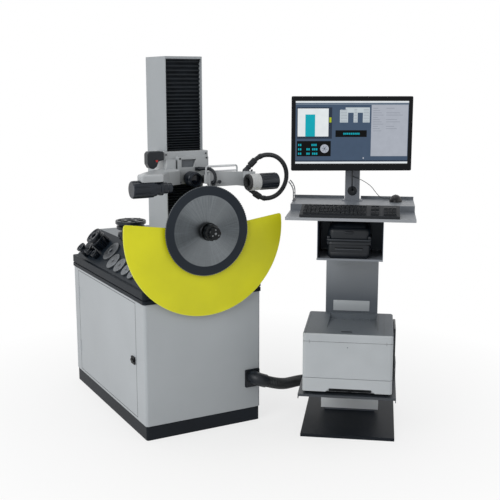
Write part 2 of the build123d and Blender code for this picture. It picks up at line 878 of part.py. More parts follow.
def make_tube(name, points, radius):
    radii = cord_radii(points)
    path = FilletPolyline(*points, radius=radii)
    start = Vector(*points[1]) - Vector(*points[0])
    section = Plane(origin=points[0], z_dir=start) * Circle(radius)
    tube = sweep(section, path)
    print(name, "radii", [round(value, 1) for value in radii], "length", round(path.length, 1),
          "volume ratio", round(tube.volume / (pi * radius ** 2 * path.length), 4))
    return tube


def make_gooseneck():
    bracket = block(28, 62, plate_front - 6, plate_front, gooseneck_z - 8, gooseneck_z + 8)
    socket = rod_y(gooseneck_x, gooseneck_z, plate_front - 14, plate_front - 5, 8)
    tube = make_tube("gooseneck", gooseneck_route, 6)
    tip_x, tip_y, tip_z = gooseneck_route[-1]
    return bracket + socket + tube + rod_z(tip_x, tip_y, tip_z, tip_z + 20, tip_x - light_end)


camera_arm_front = -490
camera_arm_thickness = 26
loop_y = camera_arm_front + camera_arm_thickness / 2
bow_radius = 4
bow_left = 30
bow_right = 186
bow_rise = 87


def make_camera_arm():
    # straight cast arm whose right end turns down, with a web back to the slab
    front = camera_arm_front
    low = carriage_bottom
    outline = raised([
        (40, 0), (57, -4), (180, -4), (226, -12), (246, -28), (256, -24), (264, -8),
        (262, 40), (250, 53), (170, 59), (57, 62), (40, 60),
    ], low)
    arm = prism(outline, "y", front, front + camera_arm_thickness)
    arm = fillet(arm.edges().filter_by(Axis.Y), 4)
    back = front + camera_arm_thickness
    web = [
        (88, back - 1), (88, plate_front), (plate_right, plate_front), (plate_right, carriage_front),
        (carriage_half - 8, carriage_front), (150, back - 1),
    ]
    arm += prism(web, "z", low + 4, low + 54)
    arm += rod_y(84, low + 18, front - 8, front + 1, 7)
    # saddle that carries the ring light
    z = right_camera_height
    arm += block(212, 252, arm_camera_y + 12, front + 1, z + 16, z + ring_radius + 8)
    arm -= rod_x(arm_camera_y, z, 190, 275, ring_radius)
    foot = (bow_left, loop_y, low + 55)
    path = FilletPolyline(
        foot, (bow_left, loop_y, low + bow_rise), (bow_right, loop_y, low + bow_rise),
        (bow_right, loop_y, low + 56),
        radius=9,
    )
    section = Plane(origin=foot, z_dir=(0, 0, 1)) * Circle(bow_radius)
    bow = sweep(section, path) + rod_z(bow_left, loop_y, low + 46, low + 56, bow_radius)
    arm += block(bow_left - 6, 60, front + 4, back - 4, low + 10, low + 50)
    return arm + bow


def make_ring_light():
    length = 59
    ring = turned([
        (20, 0), (ring_radius - 1, 0), (ring_radius, 2), (ring_radius, length - 3), (ring_radius - 2, length),
        (24, length), (20, length - 12),
    ])
    return Pos(262, arm_camera_y, right_camera_height) * Rot(0, -90, 0) * ring


def make_right_camera():
    place = Pos(262, arm_camera_y, right_camera_height)
    lens = turned([(0, 0), (19.7, 0), (19.7, 30), (17, 34), (14, 30), (0, 30)])
    return place * Rot(0, 90, 0) * fluted_barrel(left_camera_radius, 94, 10) + place * Rot(0, -90, 0) * lens


# across and height above the carriage's foot
loop_points = [
    (250, 78), (272, 101.5), (320, 130), (394, 124), (447, 72),
    (453, -1), (409, -63), (340, -81), (288, -58), (264, -36),
]
loop_hose_route = [(across, loop_y, up) for across, up in raised(loop_points, carriage_bottom)]
fitting_length = 24


def hose_fitting(end, towards, radius):
    # a stepped collar that starts at the hose's end face and runs back from it
    direction = Vector(*end) - Vector(*towards)
    collar = turned([
        (0, 0), (radius + 2, 0), (radius + 3, 2), (radius + 3, 9), (radius + 0.5, 10), (radius + 0.5, 13),
        (radius + 3, 14), (radius + 3, fitting_length), (0, fitting_length),
    ])
    return Plane(origin=end, z_dir=direction) * collar


def make_loop_fittings():
    upper = hose_fitting(loop_hose_route[0], loop_hose_route[1], loop_hose_radius)
    socket = Pos(233, loop_y, carriage_bottom + 53) * turned([(0, 0), (17, 0), (15, 12), (9, 18), (0, 18)])
    lower = hose_fitting(loop_hose_route[-1], loop_hose_route[-2], loop_hose_radius)
    arm = make_camera_arm()
    upper = upper + socket - arm
    lower -= arm
    return Compound(upper.solids() + lower.solids())


def make_loop_hose():
    return make_tube("loop_hose", loop_hose_route, loop_hose_radius)


# Conduit hose from the cabinet to the console's column
conduit_route = [
    (295, -556, 208), (348, -556, 188), (414, -532, 167), (474.5, -488, 150), (545, -462, 142),
    (614.5, -472, 142), (662.3, -507.8, 142),
]
elbow_bend = 44


def make_conduit_hose():
    return make_tube("conduit_hose", conduit_route, conduit_radius)


console = Pos(console_x, console_y, 0) * Rot(0, 0, console_turn)
column_left = console_column_x - console_column_width / 2
column_right = console_column_x + console_column_width / 2
column_front_y = 8
column_back_y = column_front_y + console_column_depth


def make_hose_flanges():
    # square plate with an elbow on the cabinet, round collar on the console's column
    plate = block(
        hose_x - 38.5, hose_x + 38.5, front_face - 6, front_face, hose_height - 49, hose_height + 39,
    )
    plate = fillet(plate.edges().filter_by(Axis.Y), 6)
    start = Vector(*conduit_route[0])
    leaves = start - Vector(*conduit_route[1])
    corner = start + leaves * ((hose_x - start.X) / leaves.X)
    root = Vector(hose_x, front_face - 5, corner.Z)
    path = FilletPolyline(root, corner, start, radius=34)
    elbow = sweep(Plane(origin=root, z_dir=(0, -1, 0)) * Circle(conduit_radius + 4), path)
    end = Vector(*conduit_route[-1])
    before = end - Vector(*conduit_route[-2])
    collar = Plane(origin=end, z_dir=before) * Cylinder(
        conduit_radius + 9, 60, align=(Align.CENTER, Align.CENTER, Align.MIN)
    )
    wall = console * block(column_left, column_left + 300, column_front_y - 100, column_back_y + 100, 0, 400)
    return Compound([plate + elbow] + (collar - wall).solids())


def make_console_base():
    plate = soft_block(-202, 229, -328, 176, 0, base_thickness, 4)
    plate = chamfer(plate.faces().sort_by(Axis.Z)[-1].edges(), 2)
    return console * plate


shelf_bottom = shelf_height - shelf_thickness


def make_console_column():
    outer = block(
        column_left, column_right, column_front_y, column_back_y, base_thickness, tray_top_back - tray_sheet,
    )
    outer = rounded(outer, Axis.Z, 4)
    inner = block(
        column_left + console_wall, column_right - console_wall,
        column_front_y + console_wall, column_back_y - console_wall, base_thickness - 1, tray_top_back,
    )
    return console * (outer - inner)


def make_printer_shelf():
    x0 = -209
    x1 = 229
    y0 = -400
    sheet = block(x0, x1, y0, column_front_y, shelf_bottom, shelf_height)
    sheet += block(x0, x1, y0, y0 + shelf_thickness, shelf_height - 11, shelf_height)
    sheet += block(x0, x0 + shelf_thickness, y0, column_front_y, shelf_height - 22, shelf_height)
    sheet += block(x1 - shelf_thickness, x1, -90, column_front_y, shelf_height - 22, shelf_height + 70)
    sheet += block(x1 - shelf_thickness, x1, y0, column_front_y, shelf_height - 22, shelf_height)
    for x in (column_left + 20, column_right - 20 - shelf_thickness):
        bracket = [
            (column_front_y, shelf_bottom), (-260, shelf_bottom), (-240, shelf_bottom - 14),
            (column_front_y, shelf_bottom - 110),
        ]
        sheet += prism(bracket, "x", x, x + shelf_thickness)
    return console * sheet


printer_left = -189
printer_right = printer_left + printer_width
printer_front = -396
printer_back = printer_front + printer_depth
drawer_bottom = shelf_height + printer_feet + 5
drawer_top = drawer_bottom + printer_drawer_height - 2
body_low = drawer_top + panel_gap
printer_top_z = body_low + printer_body_height
lid_bottom = printer_top_z - 22


def make_printer_body():
    # feet, floor, side skirts beside the drawer and the closed upper body
    low = shelf_height + printer_feet
    feet = [
        rod_z(x, y, shelf_height, low, 14)
        for x in (printer_left + 40, printer_right - 40) for y in (printer_front + 60, printer_back - 40)
    ]
    floor = block(printer_left, printer_right, printer_front + 22, printer_back, low, drawer_bottom)
    skirts = [
        block(
            x, x + 6, printer_front + 22, printer_back, low, body_low,
        ) for x in (printer_left, printer_right - 6)
    ]
    rear = block(printer_left, printer_right, printer_back - 8, printer_back, low, body_low)
    upper = soft_block(printer_left, printer_right, printer_front, printer_back, body_low, lid_bottom, 14)
    body = upper + floor + skirts + rear + feet
    cover = soft_block(
        printer_right, printer_right + 12, printer_back - 190, printer_back - 8, low + 6, lid_bottom - 40, 4,
    )
    return console * (body + cover)


def make_printer_top():
    # dark top with the sheet tray between its two guide walls
    top = soft_block(printer_left, printer_right, printer_front, printer_back, lid_bottom, printer_top_z, 14)
    top = fillet(top.faces().sort_by(Axis.Z)[-1].edges(), 6)
    slope = prism([
        (-292, printer_top_z + 1), (-292, printer_top_z - 1), (-60, printer_top_z - 16),
        (-40, printer_top_z - 8), (-20, printer_top_z + 1),
    ], "x", -88, 134)
    slot = soft_block(-21, 28, -352, -338, printer_top_z - 3, printer_top_z + 1, 5)
    return console * (top - slope - slot)


drawer_front_thickness = 18


def make_paper_drawer():
    front = block(
        printer_left, printer_right, printer_front, printer_front + drawer_front_thickness, drawer_bottom,
        drawer_top,
    )
    front = fillet(front.edges().filter_by(Axis.Z).group_by(Axis.Y)[0], 12)
    grip = prism([
        (-86, drawer_bottom - 1), (136, drawer_bottom - 1), (118, drawer_bottom + 16),
        (-68, drawer_bottom + 16),
    ], "y", printer_front - 1, printer_front + 12)
    x0 = printer_left + 6 + 3
    x1 = printer_right - 6 - 3
    y1 = printer_back - 30
    box = block(x0, x1, printer_front + 10, y1, drawer_bottom + sliding_gap, drawer_top - 6)
    hollow = block(
        x0 + 3, x1 - 3, printer_front + drawer_front_thickness, y1 - 3, drawer_bottom + 4, drawer_top,
    )
    return console * (front + box - grip - hollow)


compartment_left = console_column_x - 6 - compartment_width / 2
compartment_right = compartment_left + compartment_width
tray_under = tray_height - tray_sheet


def make_label_compartment():
    y0 = column_front_y - compartment_depth
    outer = block(compartment_left, compartment_right, y0, column_front_y, compartment_bottom, tray_under)
    inner = block(
        compartment_left + console_wall, compartment_right - console_wall,
        y0 - 1, column_front_y - console_wall, compartment_bottom + console_wall, tray_under - console_wall,
    )
    ledge = block(
        compartment_left, compartment_right, y0 - 30, y0, compartment_bottom,
        compartment_bottom + console_wall,
    )
    lip = block(
        compartment_left, compartment_right, y0 - 30, y0 - 27, compartment_bottom, compartment_bottom + 9,
    )
    return console * (outer - inner + ledge + lip)


def make_label_printer():
    # small label printer with a clamshell lid, left closed
    floor = compartment_bottom + console_wall
    side = [
        (-212, floor + 4), (-208, floor), (-20, floor), (-14, floor + 8), (-14, floor + 120),
        (-40, floor + 156),
        (-120, floor + 164), (-176, floor + 150), (-200, floor + 118), (-212, floor + 60),
    ]
    body = prism(side, "x", -98, 98)
    body = fillet(body.edges().filter_by(Axis.X), 4)
    seam = block(
        -110, 110, -220, 0, floor + 74, floor + 76.5,
    ) - block(-95, 95, -206, -18, floor + 70, floor + 80)
    slot = block(-62, 62, -230, -196, floor + 62, floor + 70)
    window = prism(
        [(-206, floor + 84), (-196, floor + 112), (-230, floor + 118), (-230, floor + 84)], "x", -78, 78,
    )
    hinge_cut = block(-70, 70, -90, -40, floor + 158, floor + 180)
    return console * (body - seam - slot - window - hinge_cut)


tray_left = console_column_x - 6 - tray_width / 2
tray_right = tray_left + tray_width


def make_keyboard_tray():
    s = tray_sheet
    profile = [
        (tray_front, tray_height - tray_lip), (tray_front + s, tray_height - tray_lip),
        (tray_front + s, tray_height - s),
        (tray_step + s, tray_height - s), (tray_step + s, tray_top_back - s), (tray_back, tray_top_back - s),
        (tray_back, tray_top_back + 14), (tray_back - s, tray_top_back + 14), (tray_back - s, tray_top_back),
        (tray_step, tray_top_back), (tray_step, tray_height), (tray_front, tray_height),
    ]
    tray = prism(profile, "x", tray_left, tray_right)
    tray -= block(
        -mast_width / 2 - 5, mast_width / 2 + 5, tray_back - 10, tray_back + 10, tray_top_back,
        tray_top_back + 20,
    )
    for x in (tray_left, tray_right - s):
        cheek = [
            (tray_step + s, tray_height - s), (tray_step + s, tray_top_back - s),
            (tray_back, tray_top_back - s),
            (tray_back, tray_top_back - 14), (tray_step + 40, tray_height - s),
        ]
        tray += prism(cheek, "x", x, x + s)
    return console * tray


keyboard_left = -221
keyboard_right = 224
keyboard_front = -277
keyboard_back = -127
key_pitch = 19


def make_keyboard():
    # sloped case on two rear feet, with its rows of keys
    front_z = tray_height + 12
    back_z = tray_height + 40
    slope = (back_z - front_z) / (keyboard_back - keyboard_front)
    case = prism([
        (keyboard_front, tray_height), (keyboard_front + 30, tray_height), (keyboard_back, back_z - 18),
        (keyboard_back, back_z), (keyboard_front, front_z),
    ], "x", keyboard_left, keyboard_right)
    case = fillet(case.edges().filter_by(Axis.Z), 3)
    feet = [
        block(x, x + 24, keyboard_back - 14, keyboard_back - 8, tray_height, back_z - 14) for x in (-180, 160)
    ]
    keys = []
    for row in range(6):
        y = keyboard_front + 14 + row * key_pitch + (6 if row == 5 else 0)
        z = front_z + slope * (y - keyboard_front)
        for column in range(22):
            x = keyboard_left + 14 + column * key_pitch
            gap = column in (15, 18) or (row == 5 and column > 18)
            space = row == 0 and 3 < column < 9
            if gap or space or (row == 2 and column in (16, 17)) or (row == 2 and column == 15):
                continue
            keys.append(block(x, x + key_pitch - 3, y, y + key_pitch - 4, z - 1, z + 6 + slope * key_pitch))
    x = keyboard_left + 14 + 4 * key_pitch
    keys.append(
        block(x, x + 5 * key_pitch - 3, keyboard_front + 14, keyboard_front + 29, front_z, front_z + 10),
    )
    return console * (case + feet + keys)


mouse_place = Pos(209, 118, tray_top_back)


def make_mouse():
    body = extrude(Ellipse(30, 50), 34)
    body = fillet(body.faces().sort_by(Axis.Z)[-1].edges(), 15)
    wheel = Pos(0, 28, 30) * Rot(0, 90, 0) * Cylinder(9, 6)
    seam = block(-0.8, 0.8, 10, 60, 24, 40)
    return console * mouse_place * (body - seam + wheel)


# across and back on the console, and height above the tray's raised part
mouse_cord_route = [
    (0, 104, 119), (22, 96, 114), (58, 94, 97), (90, 98, 75), (112, 108, 45), (134, 128, 18),
    (156, 158, 6), (182, 181, 4), (204, 187, 5), (209, 168.4, 8),
]
monitor_cable_route = [
    (0, 97, 301), (0, 97, 264), (2, 88, 211), (-1, 80, 156), (0, 76, 106), (0, 84, 68), (0, 106, 52),
]
mast_hole_z = tray_top_back + 49
grommet_radius = 22.5


def console_route(points):
    turn = radians(console_turn)
    return [
        (
            console_x + x * cos(turn) - y * sin(turn), console_y + x * sin(turn) + y * cos(turn),
            tray_top_back + z,
        )
        for x, y, z in points
    ]


mouse_cord = make_tube("mouse_cord", console_route(mouse_cord_route), 1.5)
monitor_cable = make_tube("monitor_cable", console_route(monitor_cable_route), 3)


# Monitor on its mast
swivel_x = -12
swivel_y = 52
swivel_pin_radius = 7
swivel_height = 34
hub_radius = 11
tilt_ahead = 18
tilt_pin_radius = 3
monitor_middle = monitor_bottom + monitor_height / 2
mast_arm_bottom = monitor_middle - 28.5
mast_top = monitor_middle + 22.5


def make_mast():
    x = mast_width / 2
    y1 = mast_front + mast_depth
    post = block(-x, x, mast_front, y1, tray_top_back, mast_top)
    post = rounded(post, Axis.Z, 4)
    post -= block(-x + 3, x - 3, mast_front + 3, y1 - 3, tray_top_back - 1, mast_top - 4)
    foot = block(-x - 12, x + 12, mast_front - 8, y1 + 14, tray_top_back, tray_top_back + 4)
    lug_gap = (swivel_height + 2 * sliding_gap) / 2
    lugs = []
    for z0, z1 in (
        (monitor_middle - lug_gap - 10, monitor_middle - lug_gap),
        (monitor_middle + lug_gap, monitor_middle + lug_gap + 10),
    ):
        plate = prism([
            (swivel_x - 13, swivel_y), (swivel_x + 13, swivel_y), (26, mast_front + 1), (-26, mast_front + 1),
        ], "z", z0, z1)
        lugs.append(plate + rod_z(swivel_x, swivel_y, z0, z1, 13))
    pin = rod_z(
        swivel_x, swivel_y, monitor_middle - lug_gap - 10, monitor_middle + lug_gap + 10, swivel_pin_radius,
    )
    clip = block(-10, 10, 90, mast_front, mast_arm_bottom, monitor_middle - lug_gap)
    return console * (post + foot + lugs + pin + clip)


def make_cable_grommet():
    start = Vector(*mouse_cord_route[0])
    ring = turned([
        (0, 0), (grommet_radius, 0), (grommet_radius, 3), (grommet_radius - 3, 5), (8, 5), (6, 4), (0, 4),
    ])
    large = console * Pos(0, mast_front, mast_hole_z) * Rot(90, 0, 0) * ring - monitor_cable
    small = console * rod_y(start.X, tray_top_back + start.Z, start.Y, mast_front, 4) - mouse_cord
    return Compound(large.solids() + small.solids())


def monitor_frame():
    # everything on the swivel is built square to the screen, then turned about the swivel pin
    return console * Pos(swivel_x, swivel_y, 0) * Rot(0, 0, monitor_turn)


def make_monitor_bracket():
    z = monitor_middle
    half = swivel_height / 2
    hub = rod_z(0, 0, z - half, z + half, hub_radius)
    tongue = block(-8, 8, -tilt_ahead, 0, z - 7, z + 7) + rod_x(-tilt_ahead, z, -8, 8, 7)
    bracket = hub + tongue
    bracket -= rod_z(0, 0, z - half - 1, z + half + 1, swivel_pin_radius + running_fit)
    bracket -= rod_x(-tilt_ahead, z, -9, 9, tilt_pin_radius + running_fit)
    return monitor_frame() * bracket


screen_ahead = 52
housing_depth = 26
bezel_depth = 5
display_width = 531
display_height = 299
display_bottom = 28


def make_monitor_housing():
    y0 = -screen_ahead
    x = monitor_width / 2
    z0 = monitor_bottom
    z1 = monitor_bottom + monitor_height
    case = block(-x, x, y0, y0 + housing_depth, z0, z1)
    case = fillet(case.edges().filter_by(Axis.Y), 6)
    case = chamfer(case.faces().sort_by(Axis.Y)[-1].edges(), 5)
    window = block(
        -display_width / 2, display_width / 2, y0 - 1, y0 + bezel_depth,
        z0 + display_bottom, z0 + display_bottom + display_height,
    )
    case -= window
    z = monitor_middle
    for side in (-1, 1):
        inner = side * (8 + sliding_gap)
        outer = side * 16
        low, high = min(inner, outer), max(inner, outer)
        case += rod_x(-tilt_ahead, z, low, high, 7) + block(
            low, high, y0 + housing_depth - 1, -tilt_ahead, z - 7, z + 7,
        )
    return monitor_frame() * (case + rod_x(-tilt_ahead, z, -12, 12, tilt_pin_radius))


def make_monitor_screen():
    y0 = -screen_ahead
    glass = block(
        -display_width / 2, display_width / 2, y0 + 2, y0 + bezel_depth,
        monitor_bottom + display_bottom, monitor_bottom + display_bottom + display_height,
    )
    return monitor_frame() * glass


rack_height = 93
rack_wire = 2.5


def make_wire_rack():
    # bent wire rack at the tray's left end: two uprights that lean out, joined by rungs
    x = -281
    rack = None
    for y in (62, 140):
        path = Polyline((x, y, tray_top_back), (x, y, tray_top_back + 40)) + ThreePointArc(
            (x, y, tray_top_back + 40), (x - 7, y, tray_top_back + 70),
            (x - 24, y, tray_top_back + rack_height)
        )
        upright = sweep(Plane(origin=(x, y, tray_top_back), z_dir=(0, 0, 1)) * Circle(rack_wire), path)
        rack = upright if rack is None else rack + upright
    rungs = ((0, 8), (0, 22), (0, 36), (-2, 54), (-7, 70), (-15, 83), (-23, 92))
    for shift, height in rungs:
        rack += rod_y(x + shift, tray_top_back + height, 62, 140, 1.6)
    rack += block(x - 6, x + 6, 55, 147, tray_top_back, tray_top_back + 3)
    return console * rack


makers = {
    "plinth": make_plinth, "cabinet_shell": make_cabinet_shell, "door_hinges": make_door_hinges,
    "side_door": make_side_door, "door_latch": make_door_latch, "control_unit": make_control_unit,
    "top_board": make_top_board, "machine_bed": make_machine_bed, "top_cover": make_top_cover,
    "stored_discs": make_stored_discs, "stored_adapters": make_stored_adapters, "disc_stack": make_disc_stack,
    "column_housing": make_column_housing, "column_frame": make_column_frame, "guide_rails": make_guide_rails,
    "ball_screw": make_ball_screw, "z_motor": make_z_motor,
    "bellows_upper": make_bellows_upper, "bellows_lower": make_bellows_lower,
    "spindle_housing": make_spindle_housing, "spindle_bearings": make_spindle_bearings,
    "spindle_shaft": make_spindle_shaft, "saw_blade": make_saw_blade, "blade_guard": make_blade_guard,
    "clamp_flange": make_clamp_flange, "clamp_knob": make_clamp_knob,
    "carriage_casting": make_carriage_casting, "guide_blocks": make_guide_blocks,
    "grip_handle": make_grip_handle, "release_button": make_release_button,
    "left_camera": make_left_camera, "front_camera": make_front_camera, "side_light": make_side_light,
    "gooseneck": make_gooseneck, "camera_arm": make_camera_arm, "ring_light": make_ring_light,
    "right_camera": make_right_camera, "loop_hose": make_loop_hose, "loop_fittings": make_loop_fittings,
    "hose_flanges": make_hose_flanges, "conduit_hose": make_conduit_hose,
    "console_base": make_console_base, "console_column": make_console_column,
    "printer_shelf": make_printer_shelf,
    "printer_body": make_printer_body, "printer_top": make_printer_top, "paper_drawer": make_paper_drawer,
    "label_compartment": make_label_compartment, "label_printer": make_label_printer,
    "keyboard_tray": make_keyboard_tray, "keyboard": make_keyboard, "mouse": make_mouse,
    "mouse_cord": lambda: mouse_cord, "mast": make_mast, "cable_grommet": make_cable_grommet,
    "monitor_cable": lambda: monitor_cable, "monitor_bracket": make_monitor_bracket,
    "monitor_housing": make_monitor_housing, "monitor_screen": make_monitor_screen,
    "wire_rack": make_wire_rack,
}

for name, make in makers.items():
    export_step(make(), f"parts/{name}.step")
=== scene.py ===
import bpy
import json
from math import cos, pi, radians, sin
from mathutils import Matrix, Vector


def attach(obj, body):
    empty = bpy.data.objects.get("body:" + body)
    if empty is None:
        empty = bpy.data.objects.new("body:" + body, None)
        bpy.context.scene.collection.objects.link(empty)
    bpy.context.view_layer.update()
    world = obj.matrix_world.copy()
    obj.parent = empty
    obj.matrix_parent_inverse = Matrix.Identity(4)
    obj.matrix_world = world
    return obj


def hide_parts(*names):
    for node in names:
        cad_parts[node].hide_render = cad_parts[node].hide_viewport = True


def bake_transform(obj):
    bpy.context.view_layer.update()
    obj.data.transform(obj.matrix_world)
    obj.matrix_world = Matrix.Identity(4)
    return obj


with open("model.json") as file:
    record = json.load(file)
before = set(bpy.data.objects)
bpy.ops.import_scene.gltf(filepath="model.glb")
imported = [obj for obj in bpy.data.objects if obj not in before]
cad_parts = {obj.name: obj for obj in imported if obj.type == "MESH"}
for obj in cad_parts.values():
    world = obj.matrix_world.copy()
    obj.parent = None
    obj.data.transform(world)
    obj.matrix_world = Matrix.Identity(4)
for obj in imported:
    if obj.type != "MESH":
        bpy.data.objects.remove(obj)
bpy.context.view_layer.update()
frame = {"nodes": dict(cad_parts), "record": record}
nodes = frame["nodes"]
mm = 0.001  # sizes and places below are in millimetres unless a note says metres


def deselectAll():
    if bpy.context.object and bpy.context.object.mode != "OBJECT":
        bpy.ops.object.mode_set(mode="OBJECT")
    bpy.ops.object.select_all(action="DESELECT")


def pick(obj):
    deselectAll()
    obj.select_set(True)
    bpy.context.view_layer.objects.active = obj


def settle(obj, place=None):
    # puts the piece in its place and leaves that place in its mesh
    pick(obj)
    if place is not None:
        obj.matrix_world = place @ obj.matrix_world
    bpy.ops.object.transform_apply(location=True, rotation=True, scale=True)
    return obj


def joinAll(objs):
    deselectAll()
    for obj in objs:
        obj.select_set(True)
    bpy.context.view_layer.objects.active = objs[0]
    if len(objs) > 1:
        bpy.ops.object.join()
    return objs[0]


def finishPiece(parts, name, body, slot, material=None, smooth=35):
    # joins the parts to one named piece with its finish, on the body that carries it
    shown = joinAll(parts)
    shown.name = name
    shown.data.name = name
    shown.data.materials.clear()
    shown.data.materials.append(material or finishes[slot])
    if smooth:
        pick(shown)
        bpy.ops.object.shade_smooth_by_angle(angle=radians(smooth))
    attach(shown, body)
    return shown


def applyModifier(obj, kind, **settings):
    pick(obj)
    modifier = obj.modifiers.new(kind.title(), kind)
    for key, value in settings.items():
        setattr(modifier, key, value)
    bpy.ops.object.modifier_apply(modifier=modifier.name)


def selectWhere(test):
    # edit mode: selects the faces whose centre and normal pass the test
    bpy.ops.mesh.select_all(action="DESELECT")
    bpy.ops.object.mode_set(mode="OBJECT")
    for face in bpy.context.object.data.polygons:
        face.select = bool(test(face.center, face.normal))
    bpy.ops.object.mode_set(mode="EDIT")


def box(low, high, bevel=0, segments=2):
    # a bevelled box between two corners
    deselectAll()
    low, high = Vector(low) * mm, Vector(high) * mm
    bpy.ops.mesh.primitive_cube_add(size=1, location=(low + high) / 2)
    block = bpy.context.object
    block.dimensions = high - low
    settle(block)
    if bevel:
        bpy.ops.object.mode_set(mode="EDIT")
        bpy.ops.mesh.select_all(action="SELECT")
        bpy.ops.mesh.bevel(offset=bevel * mm, segments=segments, affect="EDGES")
        bpy.ops.object.mode_set(mode="OBJECT")
    return block


def boxes(rows):
    return [box(*row) for row in rows]


def turnedPiece(profile, sides=48):
    # a closed outline of (radius, height) spun about Z; radius 0 closes it on the axis
    deselectAll()
    bpy.ops.mesh.primitive_plane_add(size=1)
    shape = bpy.context.object
    bpy.ops.object.mode_set(mode="EDIT")
    bpy.ops.mesh.delete(type="VERT")
    bpy.ops.object.mode_set(mode="OBJECT")
    edges = [(i, i + 1) for i in range(len(profile) - 1)]
    shape.data.from_pydata([(r * mm, 0, h * mm) for r, h in profile], edges, [])
    bpy.ops.object.mode_set(mode="EDIT")
    bpy.ops.mesh.select_all(action="SELECT")
    bpy.ops.mesh.spin(steps=sides, angle=2 * pi, center=(0, 0, 0), axis=(0, 0, 1))
    bpy.ops.mesh.select_all(action="SELECT")
    bpy.ops.mesh.remove_doubles(threshold=1e-6)
    bpy.ops.mesh.normals_make_consistent(inside=False)
    bpy.ops.object.mode_set(mode="OBJECT")
    return shape


def movedTo(x, y, z):
    return Matrix.Translation((x * mm, y * mm, z * mm))


def turnedBy(degrees, axis="Z"):
    return Matrix.Rotation(radians(degrees), 4, axis)


def facing(point, direction):
    # a place at a point whose own +Z looks along the direction
    return movedTo(*point) @ Vector(direction).to_track_quat("Z", "Y").to_matrix().to_4x4()


# where the console and its screen stand
consoleSettings = {"x": 709.4, "y": -642.8, "turn": -36.82, "swivel": (-12, 52), "screenTurn": 9.67}


def consolePlace():
    s = consoleSettings
    return movedTo(s["x"], s["y"], 0) @ turnedBy(s["turn"])


def screenPlace():
    s = consoleSettings
    return consolePlace() @ movedTo(*s["swivel"], 0) @ turnedBy(s["screenTurn"])


def consolePiece(parts, name, body, slot, material=None, smooth=35):
    # a piece whose parts are given in the console's own directions
    return finishPiece([settle(joinAll(parts), consolePlace())], name, body, slot, material, smooth)


# camera, at the photo's view; its place is in metres
cameraSettings = {"place": (-1.7131, -4.1082, 1.6161), "heading": (0.4764, 0.8792), "down": 10.713,
                  "lens": 64.39}


def makeCamera():
    s = cameraSettings
    data = bpy.data.cameras.new("photoCamera")
    data.lens = s["lens"]
    data.sensor_width = 36
    data.clip_start, data.clip_end = 0.1, 60
    camera = bpy.data.objects.new("photoCamera", data)
    bpy.context.scene.collection.objects.link(camera)
    camera.location = s["place"]
    x, y = s["heading"]
    level = cos(radians(s["down"]))
    look = Vector((x * level, y * level, -sin(radians(s["down"]))))
    camera.rotation_euler = look.to_track_quat("-Z", "Y").to_euler()
    bpy.context.scene.camera = camera
    print("camera ready")


makeCamera()


# materials; lengths in their nodes are in metres
def nodeTree(name):
    material = bpy.data.materials.new(name)
    material.use_nodes = True
    tree = material.node_tree
    return material, tree, tree.nodes["Principled BSDF"]


def addNode(tree, kind, **values):
    node = tree.nodes.new(kind)
    for key, value in values.items():
        if hasattr(node, key):
            setattr(node, key, value)
        else:
            node.inputs[key].default_value = value
    return node


def plug(tree, value, socket):
    # a link from another node, or a plain value
    if hasattr(value, "is_output"):
        tree.links.new(value, socket)
    else:
        socket.default_value = value


def linear(colour):
    return tuple(((c + 0.055) / 1.055) ** 2.4 if c > 0.04045 else c / 12.92 for c in colour) + (1,)


def shade(colour, factor):
    return tuple(min(1, c * factor) for c in colour)


def objectNoise(tree, scale, stretch=(1, 1, 1), detail=3, rough=0.5):
    place = addNode(tree, "ShaderNodeTexCoord")
    mapping = addNode(tree, "ShaderNodeMapping", Scale=stretch)
    noise = addNode(tree, "ShaderNodeTexNoise", Scale=scale, Detail=detail, Roughness=rough)
    tree.links.new(place.outputs["Object"], mapping.inputs["Vector"])
    tree.links.new(mapping.outputs["Vector"], noise.inputs["Vector"])
    return noise.outputs["Fac"]


def ranged(tree, source, low, high, newLow, newHigh):
    node = addNode(tree, "ShaderNodeMapRange")
    for key, value in (("From Min", low), ("From Max", high), ("To Min", newLow), ("To Max", newHigh)):
        node.inputs[key].default_value = value
    tree.links.new(source, node.inputs["Value"])
    return node.outputs["Result"]


def mixed(tree, factor, first, second):
    node = addNode(tree, "ShaderNodeMix", data_type="RGBA")
    for socket, value in ((node.inputs[0], factor), (node.inputs[6], first), (node.inputs[7], second)):
        plug(tree, value, socket)
    return node.outputs[2]


def toned(tree, factor, colour, darker, lighter):
    return mixed(tree, factor, linear(shade(colour, darker)), linear(shade(colour, lighter)))


def calc(tree, operation, *values):
    node = addNode(tree, "ShaderNodeMath", operation=operation)
    for socket, value in zip(node.inputs, values):
        plug(tree, value, socket)
    return node.outputs[0]


def fromAxis(tree, a, b):
    # distance from the axis and the angle round it
    squares = [calc(tree, "MULTIPLY", part, part) for part in (a, b)]
    return calc(tree, "SQRT", calc(tree, "ADD", *squares)), calc(tree, "ARCTAN2", b, a)


def separateParts(tree, centre=(0, 0, 0)):
    place = addNode(tree, "ShaderNodeTexCoord")
    mapping = addNode(tree, "ShaderNodeMapping", Location=[-c for c in centre])
    parts = addNode(tree, "ShaderNodeSeparateXYZ")
    tree.links.new(place.outputs["Object"], mapping.inputs["Vector"])
    tree.links.new(mapping.outputs["Vector"], parts.inputs["Vector"])
    return parts.outputs


def noiseAt(tree, x, y, z=0, **values):
    # noise read at a point put together from three values
    point = addNode(tree, "ShaderNodeCombineXYZ")
    for socket, value in zip(point.inputs, (x, y, z)):
        plug(tree, value, socket)
    noise = addNode(tree, "ShaderNodeTexNoise", **values)
    tree.links.new(point.outputs["Vector"], noise.inputs["Vector"])
    return noise.outputs["Fac"]


